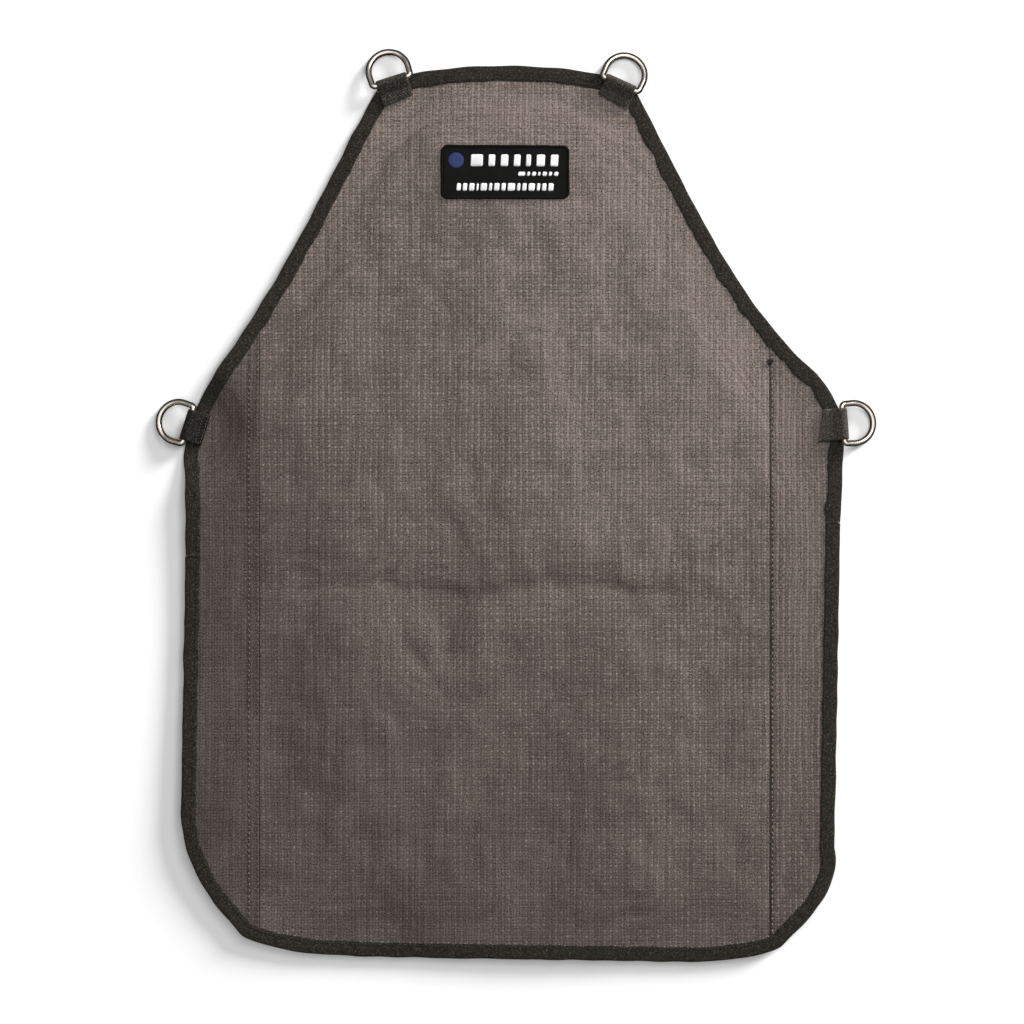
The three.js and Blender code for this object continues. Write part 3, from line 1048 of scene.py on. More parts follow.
@dataclass
class ClothPanels:
    """The face panel, its two gores, the core plies and the lining, all lying the same way."""

    edge: EdgeLine
    lie: Lie
    left_gore_edge: float = -0.2175
    right_gore_edge: float = 0.2155
    lap: float = 0.013
    step: float = 0.0030
    inset: float = 0.0022
    seam_rows: tuple[float, float] = (0.0015, 0.0085)
    first_row: float = -0.388
    last_row: float = 0.376

    def by_columns(self, name: str, x: np.ndarray, top: np.ndarray) -> bpy.types.Object:
        """A sheet from the hem to the neck: y = low(x) + v (high(x) - low(x)).

        Args:
            name: The piece's name.
            x: The columns.
            top: The height of the sheet's upper side on each column of a flat apron.

        Returns:
            The sheet, facing up.
        """
        low, high = self.edge.columns(x, self.inset)
        v = np.linspace(0, 1, int(np.max(high - low) / self.step) + 1)
        y = low[:, None] + v[None] * (high - low)[:, None]
        xx = np.repeat(x[:, None], len(v), 1)
        z = top[:, None] + self.lie.height(xx, y)
        return self.sheet(name, np.stack([xx, y, z], -1))

    def by_rows(self, name: str, low: float, high: float, top: float) -> bpy.types.Object:
        """A sheet between two Xs, or the edge where it comes first: x = left(y) + u (right - left).

        Args:
            name: The piece's name.
            low: The sheet's left limit.
            high: Its right limit.
            top: The height of its upper side on a flat apron.

        Returns:
            The sheet, facing up.
        """
        y = np.arange(self.first_row, self.last_row, self.step)
        left, right = self.edge.rows(y, self.inset)
        left, right = np.maximum(left, low), np.minimum(right, high)
        keep = np.isfinite(left) & np.isfinite(right) & (right - left > 1e-5)
        y, left, right = y[keep], left[keep], right[keep]
        u = np.linspace(0, 1, int(np.max(right - left) / self.step) + 2)
        x = left[:, None] + u[None] * (right - left)[:, None]
        yy = np.repeat(y[:, None], len(u), 1)
        z = top + self.lie.height(x, yy)
        grid = np.stack([x, yy, z], -1)
        return self.sheet(name, np.swapaxes(grid, 0, 1))

    @staticmethod
    def sheet(name: str, grid: np.ndarray) -> bpy.types.Object:
        """An open sheet from a grid of places whose first index runs along X.

        Args:
            name: The piece's name.
            grid: The places, (columns, rows, 3).

        Returns:
            The sheet, facing up.
        """
        cols, rows = grid.shape[:2]
        quads = grid_quads(cols, rows)[:, ::-1]
        return make_object(name, grid.reshape(-1, 3), quads, closed=False)

    @staticmethod
    def declare(obj: bpy.types.Object, rests_on: Sequence[str]) -> None:
        """Reads a sheet's places and its corners, and does nothing with them.

        Args:
            obj: The sheet.
            rests_on: Not used.
        """
        count = len(obj.data.vertices)
        places = np.empty(count * 3)
        obj.data.vertices.foreach_get("co", places)
        places = places.reshape(-1, 3)
        corners = np.empty(len(obj.data.loops), np.int32)
        obj.data.loops.foreach_get("vertex_index", corners)

    def centre_columns(self) -> tuple[np.ndarray, np.ndarray]:
        """The centre panel's columns and heights, with its step down beneath each gore.

        Returns:
            The X of each column, and the height of its upper side.
        """
        left, right = self.left_gore_edge, self.right_gore_edge
        ramp = np.array([0.0, 0.0004, 0.0010, 0.0016, 0.0022])
        middle = np.arange(left + 0.005, right - 0.004, self.step)
        lap = np.linspace(-self.lap, -0.002, 5)
        x = np.concatenate([left + lap, left + ramp, middle, (right - ramp)[::-1], (right - lap)[::-1]])
        rise = smooth(x - left, 0.0, 0.0004) * smooth(right - x, 0.0004, 0.0019)
        top = CORE_TOP + (FACE_TOP - CORE_TOP) * rise
        return x, top

    def build(self) -> None:
        """Builds and dresses every panel."""
        left, right = self.left_gore_edge, self.right_gore_edge
        near, far = self.seam_rows
        left_rows = tuple(1000 * (left - d) for d in (near, far))
        right_rows = tuple(1000 * (right + d) for d in (near, far))
        centre = MeshCloth("face_mesh_cloth").material()
        # dot sets the gore's pale crossings and their painted highlight: weaker on the left gore, stronger on
        # the right
        left_look = MeshCloth("left_gore_cloth", tone=0.88, dot=0.6, needle_rows=left_rows).material()
        right_look = MeshCloth("right_gore_cloth", tone=0.76, dot=1.6, needle_rows=right_rows[:1]).material()
        core = PlainCloth("core_weave", (0.48, 0.42, 0.27), 1.1).material()
        lining = PlainCloth("lining_weave", (0.045, 0.042, 0.040)).material()

        columns, heights = self.centre_columns()
        under = self.by_rows("lining_sheet", -1.0, 1.0, LINING_TOP)
        core_gap = 0.0032
        core_out = self.lap + 0.0005
        cores = {
            "core_left_ply": self.by_rows("core_left_sheet", -1.0, left - core_out, CORE_TOP),
            "core_centre_ply": self.by_rows("core_centre_sheet", left + core_gap, right - core_gap, CORE_TOP),
            "core_right_ply": self.by_rows("core_right_sheet", right + core_out, 1.0, CORE_TOP),
        }
        face = self.by_columns("face_centre_sheet", columns, heights)
        gores = {
            "face_left_gore": self.by_rows("left_gore_sheet", -1.0, left, FACE_TOP),
            "face_right_gore": self.by_rows("right_gore_sheet", right, 1.0, FACE_TOP),
        }
        self.declare(under, ["floor"])
        thicken(under, LINING_THICK)
        fit(under, APRON, "lining_cloth", lining, "back_lining")
        for node, sheet in cores.items():
            self.declare(sheet, [under.name])
            thicken(sheet, CORE_THICK)
            fit(sheet, APRON, "core_cloth", core, node)
        self.declare(face, [cores["core_centre_ply"].name])
        thicken(face, FACE_THICK)
        fit(face, APRON, "face_cloth", centre, "face_centre_panel")
        for (node, sheet), look in zip(gores.items(), (left_look, right_look)):
            self.declare(sheet, [face.name])
            thicken(sheet, FACE_THICK)
            fit(sheet, APRON, "face_cloth", look, node)


# ---------------------------------------------------------------------------------------------
# Binding tape
# ---------------------------------------------------------------------------------------------


@dataclass
class TapeRun:
    """One length of binding: where it starts and ends along the edge, and its end mitres.

    A mitre is half the corner's turn, in radians.  The legs are wider by extra, and rough scales
    how uneven their free edges are.
    """

    name: str
    start: float
    end: float
    start_cut: float = 0.0
    end_cut: float = 0.0
    seed: int = 0
    extra: float = 0.0
    rough: float = 1.0


@dataclass
class Binding:
    """The folded tape round the edge, in four lengths, with its row of stitches."""

    edge: EdgeLine
    lie: Lie
    leg: float = 0.0127
    step: float = 0.0016
    neck_mitre: float = 0.58
    stitch_inset: float = 0.0112

    def runs(self) -> list[TapeRun]:
        """The four lengths, in order round the edge.

        Returns:
            The lengths.
        """
        e = self.edge
        right_neck, right_side = e.where(e.right_neck), e.where(e.right_side)
        left_side, total = e.where(e.left_side), e.total
        cut = self.neck_mitre
        return [
            TapeRun("neck", 0.0, right_neck, start_cut=cut, end_cut=cut, seed=1, extra=0.0006),
            TapeRun("right_armhole", right_neck, right_side, start_cut=cut, seed=2, extra=0.0002, rough=1.9),
            TapeRun("lower", right_side, left_side, seed=3, rough=0.6),
            TapeRun("left_armhole", left_side, total, end_cut=cut, seed=4),
        ]

    def section(self) -> np.ndarray:
        """The tape's closed section as (inset, height) points, round its outside and back inside.

        Both folds are half ellipses, and the free edges of the legs are rounded over.

        Returns:
            An (n, 2) array.
        """
        rim = 0.0016
        t = np.linspace(-PI / 2, PI / 2, 11)
        outer = np.stack([rim * (1 - np.cos(t)), EDGE_TOP / 2 * (1 + np.sin(t))], 1)
        flats = np.linspace(rim, self.leg - 0.0006, 9)[1:]
        bottom = np.stack([flats[::-1], np.zeros(8)], 1)
        top = np.stack([flats, np.full(8, EDGE_TOP)], 1)
        lip = self.leg
        front_lip = np.array(
            [[lip - 0.0001, EDGE_TOP - 0.00016], [lip, EDGE_TOP - 0.0003], [lip - 0.0002, FRONT_LEG]]
        )
        back_lip = np.array([[lip - 0.0002, TAPE], [lip, 0.0003], [lip - 0.0001, 0.0001]])
        inner_t = t[::-1][1:-1:2]
        hollow = (FRONT_LEG - TAPE) / 2
        middle = (FRONT_LEG + TAPE) / 2
        inner_inset = rim + TAPE * 0.4 - (rim - TAPE * 0.6) * np.cos(inner_t)
        inner = np.stack([inner_inset, middle + hollow * np.sin(inner_t)], 1)
        back = np.array([[0.008, FRONT_LEG], [0.004, FRONT_LEG]])
        forth = np.array([[0.004, TAPE], [0.008, TAPE]])
        return np.concatenate([bottom, outer, top, front_lip, back, inner, forth, back_lip])

    def spread(self, run: TapeRun, inset: np.ndarray, step: float, gap: float = 0.00015) -> np.ndarray:
        """Distances along the edge for each station and inset.

        At a mitred end a point at inset d starts d times the tangent of half the corner's turn
        later, so that two lengths of tape meet along the corner's bisector.

        Args:
            run: The length of tape.
            inset: The insets, along the last axis.
            step: About how far apart the stations are.
            gap: The clearance left at each end.

        Returns:
            A (stations, insets) array.
        """
        count = int((run.end - run.start) / step) + 1
        share = np.linspace(0, 1, count)[:, None]
        first = run.start + gap + inset * math.tan(run.start_cut)
        last = run.end - gap - inset * math.tan(run.end_cut)
        return first + share * (last - first)

    def tape(self, run: TapeRun) -> bpy.types.Object:
        """Sweeps the section along one length, with puckers, uneven legs and the cloth's lie.

        Args:
            run: The length of tape.

        Returns:
            The piece.
        """
        section = self.section()
        inset, z = section[:, 0], section[:, 1]
        s = self.spread(run, inset, self.step)
        out = smooth(inset, 0.004, self.leg)
        front = smooth(z, TAPE + 0.0002, FRONT_LEG - 0.0002)
        uneven = 0.00048 * wander(s, 0.034, 30 + run.seed) + 0.00022 * wander(s, 0.011, 40 + run.seed)
        waver = 0.00030 * wander(s, 0.045, 50 + run.seed) * (1 - out)
        flat_xy = self.edge.offset(s, inset, run.start, run.end)
        drawn = 0.20 * np.maximum(self.lie.height(flat_xy[..., 0], flat_xy[..., 1]), 0.0)
        wide = inset + out * (uneven * run.rough + run.extra) + waver + drawn
        pull = np.sin(2 * PI * (s / 0.0071 + inset / 0.02) + 1.6 * wander(s, 0.05, 60 + run.seed))
        pucker = front * out * (0.00013 * pull + 0.00016 * wander(s, 0.013, 70 + run.seed))
        belly = 0.00028 * front * np.sin(PI * np.clip(inset / self.leg, 0, 1)) ** 2
        xy = self.edge.offset(s, wide, run.start, run.end)
        lift = np.maximum(self.lie.height(xy[..., 0], xy[..., 1]), 0.0)
        height = z + pucker + belly + lift
        points = np.concatenate([xy, height[..., None]], -1)
        girth = run_along(section)
        uv = np.stack([s, np.broadcast_to(girth, s.shape)], -1)
        return swept(f"{run.name}_tape", points, uv)

    def build(self) -> None:
        """Builds the four lengths and their stitches."""
        tape = NarrowFabric("binding_tape_cloth", (0.0140, 0.0121, 0.0092), Weave.TAPE, 0.9).material()
        dark = Yarn("dark_sewing_thread", (0.0165, 0.0143, 0.0112)).material()
        light = Yarn("light_sewing_thread", (0.20, 0.18, 0.155)).material()
        sewing = Sewing(self.lie)
        for run in self.runs():
            fit(self.tape(run), APRON, "binding_tape", tape, f"binding_{run.name}")
            inset = np.array([self.stitch_inset])
            s = self.spread(run, inset, 0.0005)
            xy = self.edge.offset(s, np.broadcast_to(inset, s.shape), run.start, run.end)[:, 0]
            stitch = Stitch(pitch=0.0033, length=0.0026, width=0.00075)
            row = sewing.row(f"{run.name}_tape_stitches", xy, EDGE_TOP + 0.00015, stitch, run.seed)
            fit(row, APRON, "dark_thread", dark, f"binding_{run.name}_stitch")
            if run.name == "lower":
                s = self.spread(run, np.array([self.leg + 0.0012]), 0.0005)
                s = s[(s[:, 0] > run.start + 0.33) & (s[:, 0] < run.end - 0.36)]
                inset = self.leg + 0.0009 + 0.0005 * wander(s, 0.03, 81)
                xy = self.edge.offset(s, inset, run.start, run.end)[:, 0]
                stitch = Stitch(pitch=0.0047, length=0.0022, width=0.0007, loose=3.0)
                basting = sewing.row("hem_inner_stitches", xy, FACE_TOP, stitch, 82)
                fit(basting, APRON, "light_thread", light)


# ---------------------------------------------------------------------------------------------
# Sewing
# ---------------------------------------------------------------------------------------------


@dataclass(frozen=True)
class Stitch:
    """One row's stitch: its sizes, how deep its ends go, and how uneven the row is."""

    pitch: float
    length: float
    width: float
    loose: float = 1.0
    bury: float = 0.00035


@dataclass
class Sewing:
    """Rows of separate lockstitches that follow the lie of the cloth."""

    lie: Lie

    def row(self, name: str, line: np.ndarray, top: float, stitch: Stitch, seed: int) -> bpy.types.Object:
        """A row of stitches along a line.

        A stitch is an arched strand: at share t of its length its middle stands sin(pi t) high and
        its ends go down into the cloth, and its section is an ellipse that thins towards the ends.

        Args:
            name: The piece's name.
            line: The row's fine line, (n, 2).
            top: The height of the surface that is sewn, on a flat apron.
            stitch: The stitch's sizes.
            seed: Picks the unevenness.

        Returns:
            The piece.
        """
        along = run_along(line)
        pitch, width, loose = stitch.pitch, stitch.width, stitch.loose
        count = max(1, int(along[-1] / pitch))
        rng = np.random.default_rng(seed + 500)
        middle = (np.arange(count) + 0.5) * pitch + rng.normal(0, 0.04 * pitch * loose, count)
        reach = stitch.length * np.maximum(rng.uniform(1 - 0.14 * loose, 1.08, count), 0.4)
        sway = rng.normal(0, 0.09 * width * loose, count)
        t = np.linspace(0, 1, 7)
        around = np.linspace(0, 2 * PI, 6, endpoint=False)
        s = middle[:, None] + (t - 0.5) * reach[:, None]
        x, y = (np.interp(s, along, line[:, k]) for k in (0, 1))
        before, after = s - 0.0004, s + 0.0004
        dx, dy = (np.interp(after, along, line[:, k]) - np.interp(before, along, line[:, k]) for k in (0, 1))
        size = np.maximum(np.hypot(dx, dy), 1e-9)
        side_x, side_y = -dy / size, dx / size
        arch = np.sin(PI * t)
        fat = (0.35 + 0.65 * arch**0.5) * width / 2
        lifted = (stitch.bury + 0.55 * width) * arch**0.6
        z = top + self.lie.height(x, y) - stitch.bury + lifted - width * 0.2
        across = np.cos(around) * fat[:, None]
        rise = np.sin(around) * 0.62 * fat[:, None]
        shift = across[None] + sway[:, None, None]
        points = np.stack(
            [
                x[..., None] + side_x[..., None] * shift,
                y[..., None] + side_y[..., None] * shift,
                z[..., None] + np.broadcast_to(rise, shift.shape),
            ],
            -1,
        )
        per = len(t) * len(around)
        quads = grid_quads(len(t), len(around), wrap_cols=True)
        flip = signed_volume(points[0].reshape(-1, 3), quads) < 0
        if flip:
            quads = quads[:, ::-1]
        starts = np.arange(count) * per
        every = (starts[:, None, None] + quads[None]).reshape(-1, 4)
        first = list(range(len(around)))
        last = [(len(t) - 1) * len(around) + k for k in first][::-1]
        caps = [face[::-1] if flip else face for face in (first, last)]
        ends = [[int(start) + k for k in face] for start in starts for face in caps]
        return make_object(name, points.reshape(-1, 3), every, ends, closed=False)


@dataclass
class SideSeams:
    """Two rows of stitches on each gore, beige to taupe, and the knot at the top of the right seam."""

    lie: Lie
    pitch: float = 0.0049
    knot_size: float = 0.00085
    knot_rise: float = 0.0011
    knot_radius: float = 0.00052

    def build(self) -> None:
        """Builds the four rows and the knot."""
        light = Yarn("pale_seam_thread", (0.135, 0.117, 0.099)).material()
        bright = Yarn("bright_seam_thread", (0.175, 0.155, 0.130)).material()
        dull = Yarn("grey_seam_thread", (0.078, 0.065, 0.056)).material()
        hidden = Yarn("taupe_seam_thread", (0.080, 0.066, 0.057)).material()
        sewing = Sewing(self.lie)
        rows = {
            "left_seam_outer": ("left_seam_outer_thread", light, 0.0011),
            "left_seam_inner": ("left_seam_inner_thread", dull, 0.0008),
            "right_seam_inner": ("right_seam_inner_thread", bright, 0.0010),
            "right_seam_outer": ("right_seam_outer_thread", hidden, 0.0006),
        }
        for seed, (name, (node, look, width)) in enumerate(rows.items()):
            low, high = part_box(node)
            x = (low[0] + high[0]) / 2
            first = math.floor(high[1] / self.pitch) * self.pitch
            y = np.arange(first, low[1], -0.0005)
            line = np.stack([x + 0.0003 * wander(y, 0.06, 90 + seed), y], 1)
            stitch = Stitch(pitch=self.pitch, length=0.0027, width=width, loose=1.8)
            row = sewing.row(f"{name}_stitches", line, FACE_TOP, stitch, 90 + seed)
            fit(row, APRON, "light_thread", look, node)
        self.knot()

    def knot(self) -> None:
        """A tied end: a closed strand wound as a small trefoil knot, (sin t + 2 sin 2t, cos t - 2 cos 2t)."""
        low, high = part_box("seam_knot")
        centre = (np.array(low) + np.array(high)) / 2
        t = np.linspace(0, 2 * PI, 90, endpoint=False)
        loops = [np.sin(t) + 2 * np.sin(2 * t), np.cos(t) - 2 * np.cos(2 * t), -0.8 * np.sin(3 * t)]
        path = self.knot_size * np.stack(loops, 1)
        lift = float(self.lie.height(centre[:1], centre[1:2])[0])
        path += [centre[0], centre[1], FACE_TOP + self.knot_rise + lift]
        knot = tube("seam_knot_thread", path, self.knot_radius, 8, ring=True)
        dark = Yarn("knot_thread", (0.022, 0.018, 0.016)).material()
        fit(knot, APRON, "dark_thread", dark, "seam_knot")


# ---------------------------------------------------------------------------------------------
# Tabs and D-rings
# ---------------------------------------------------------------------------------------------


class FlatLie:
    """A lie with no waves, for what is sewn on something flat."""

    def height(self, x: np.ndarray, y: np.ndarray) -> np.ndarray:
        """Zero everywhere."""
        return np.zeros_like(x)


@dataclass
class RingTab:
    """A D-ring, the webbing folded round its bar, and the box stitch that holds the webbing.

    The local axes are t along the bar, n outwards from the apron, and up.  The box stitch is given by
    its half width and by where its near and far rows lie along n.
    """

    name: str
    reach: float
    skew: float
    wire: float = 0.0052
    radius: float = 0.017
    depth: float = 0.0095
    corner: float = 0.0028
    taper: float = math.radians(2)
    web: float = 0.0011
    width: float = 0.0274
    clearance: float = 0.00025
    box: tuple[float, float, float] = (0.0116, -0.0098, -0.0140)

    def __post_init__(self) -> None:
        """Takes the bar's place and direction from the ring's joint."""
        joint = next(j for j in frame["joints"] if j["child"] == f"{self.name}_ring")
        self.bar = np.array(joint["pos_m"], float)
        self.t = np.array(joint["axis"], float)
        self.n = np.array([-self.t[1], self.t[0], 0.0])
        self.up = np.array([0.0, 0.0, 1.0])
        self.loop = self.wire / 2 + self.clearance + self.web

    def place(self, t: np.ndarray, n: np.ndarray, z: np.ndarray) -> np.ndarray:
        """Local coordinates, measured from the bar's middle, as places in the frame."""
        parts = [np.asarray(a)[..., None] * b for a, b in ((t, self.t), (n, self.n), (z, self.up))]
        return self.bar + sum(parts)

    def ring(self) -> bpy.types.Object:
        """The D of round wire: a bar, two small corners, two legs that lean in, and an arc.

        The wire is a little thicker at the weld in the middle of the bar.

        Returns:
            The ring.
        """
        tilt = math.asin((self.bar[2] - self.wire / 2) / (self.depth + self.radius))
        lean, c = self.taper, self.corner
        bend = (self.radius - c + math.sin(lean) * (c - self.depth)) / math.cos(lean)
        corner = np.linspace(-PI / 2, -lean, 16)
        arc = np.linspace(-lean, PI + lean, 110)
        bar = np.linspace(-bend, bend, 42)[:-1]
        right = np.stack([bend + c * np.cos(corner), c + c * np.sin(corner)], 1)
        top = np.stack([self.radius * np.cos(arc), self.depth + self.radius * np.sin(arc)], 1)
        leg = np.linspace(right[-1], top[0], 8)[1:-1]
        left = right[::-1] * [-1, 1]
        other = leg[::-1] * [-1, 1]
        line = np.concatenate([np.stack([bar, 0 * bar], 1), right, leg, top, other, left[:-1]])
        out = np.cos(tilt) * self.n - np.sin(tilt) * self.up
        path = self.bar + line[:, :1] * self.t + line[:, 1:] * out
        bead = 0.00016 * np.exp(-(line[:, 0] ** 2) / (2 * 0.0011**2)) * (line[:, 1] < 0.002)
        wobble = 0.00002 * np.sin(9 * np.arctan2(line[:, 1] - self.depth, line[:, 0]))
        return tube(f"{self.name}_d_ring", path, self.wire / 2 + bead + wobble, 28, ring=True)

    def web_line(self) -> np.ndarray:
        """The middle of the webbing from side on, as (n, z): in along the top ply, round, and back.

        Sharp changes of direction are eased with a running mean.

        Returns:
            An (n, 2) array of evenly spaced points.
        """
        half = self.web / 2
        turn = self.loop - half
        low = -turn
        sewn = low + self.web + 0.00005
        meet = np.array([-0.0085, sewn])
        start = math.atan2(meet[1], meet[0]) + 2 * PI - math.acos(turn / np.linalg.norm(meet))
        bend = np.linspace(start, -PI / 2, 60)
        flat_in = np.linspace([-self.reach, sewn], meet, 40)[:-1]
        climb = np.linspace(meet, [turn * math.cos(start), turn * math.sin(start)], 30)[:-1]
        round_bar = turn * np.stack([np.cos(bend), np.sin(bend)], 1)
        flat_out = np.linspace([0.0, low], [-self.reach, low], 60)[1:]
        line = np.concatenate([flat_in, climb, round_bar, flat_out])
        along = run_along(line)
        even = np.linspace(0, along[-1], 130)
        line = np.stack([np.interp(even, along, line[:, k]) for k in (0, 1)], 1)
        kernel = np.hanning(9) / np.hanning(9).sum()
        padded = np.pad(line, ((4, 4), (0, 0)), mode="reflect", reflect_type="odd")
        return np.stack([np.convolve(padded[:, k], kernel, mode="valid") for k in (0, 1)], 1)

    def tab(self) -> bpy.types.Object:
        """The webbing: a flat section with soft edges, swept along its side view.

        The sewn ends are cut on the skew, settle a little towards the cloth, and the width draws
        in slightly round the bar.

        Returns:
            The webbing.
        """
        line = self.web_line()
        ahead = np.gradient(line, axis=0)
        ahead /= np.linalg.norm(ahead, axis=1)[:, None]
        normal = np.stack([-ahead[:, 1], ahead[:, 0]], 1)
        count = 23
        steps = np.concatenate([np.linspace(-1, 1, count), np.linspace(1, -1, count)[1:-1]])
        side = np.concatenate([np.ones(count), -np.ones(count - 2)])
        round_off = np.sqrt(np.clip(1 - np.abs(steps) ** 14, 0.0, 1.0))
        t = steps * self.width / 2
        lift = side * self.web / 2 * round_off * 0.94
        along = np.linspace(0, 1, len(line))
        inner = smooth(-line[:, 0], self.reach - 0.007, self.reach)
        draw = 1 - 0.028 * np.exp(-((line[:, 0] - 0.001) ** 2) / (2 * 0.004**2))
        rib = 0.00005 * np.sin(2 * PI * along[:, None] * 42 + 2.2 * steps[None])
        slope = math.tan(math.radians(self.skew))
        tt = t[None] * draw[:, None] * (1 + 0.006 * wander(line[:, :1] * 3, 0.006, 5))
        thick = lift[None] + rib * side[None]
        n = line[:, :1] + normal[:, :1] * thick + inner[:, None] * slope * tt
        sag = 0.00045 * inner[:, None] + 0.00014 * inner[:, None] * wander(tt, 0.012, 8)
        z = line[:, 1:] + normal[:, 1:] * thick - sag
        run = run_along(line)
        uv = np.stack(np.broadcast_arrays(run[:, None], t[None] + 0.02 * (side[None] < 0)), -1)
        return swept(f"{self.name}_webbing", self.place(tt, n, z), uv)

    def box_stitch(self) -> bpy.types.Object:
        """Separate stitches round a box on the sewn end.

        Returns:
            The stitches.
        """
        x, near, far = self.box
        corners = np.array([[-x, far], [x, far], [x, near], [-x, near], [-x, far]])
        parts = [np.linspace(a, b, 60, endpoint=False) for a, b in zip(corners[:-1], corners[1:])]
        line = np.concatenate(parts)
        stitch = Stitch(pitch=0.0026, length=0.0021, width=0.0007)
        world = self.place(line[:, 0], line[:, 1], np.zeros(len(line)))
        top = self.bar[2] - self.loop + 2 * self.web
        return Sewing(FlatLie()).row(f"{self.name}_box_stitches", world[:, :2], top, stitch, 7)

    def build(
        self,
        webbing: bpy.types.Material,
        thread: bpy.types.Material,
        nickel: bpy.types.Material,
    ) -> None:
        """Builds and dresses the three pieces.

        Args:
            webbing: The webbing's material.
            thread: The box stitch's material.
            nickel: The ring's material.
        """
        fit(self.tab(), APRON, "webbing", webbing, f"{self.name}_tab")
        fit(self.box_stitch(), APRON, "dark_thread", thread, f"{self.name}_tab_stitch")
        fit(self.ring(), f"{self.name}_ring", "ring_metal", nickel, f"{self.name}_ring")


# ---------------------------------------------------------------------------------------------
# Label
# ---------------------------------------------------------------------------------------------


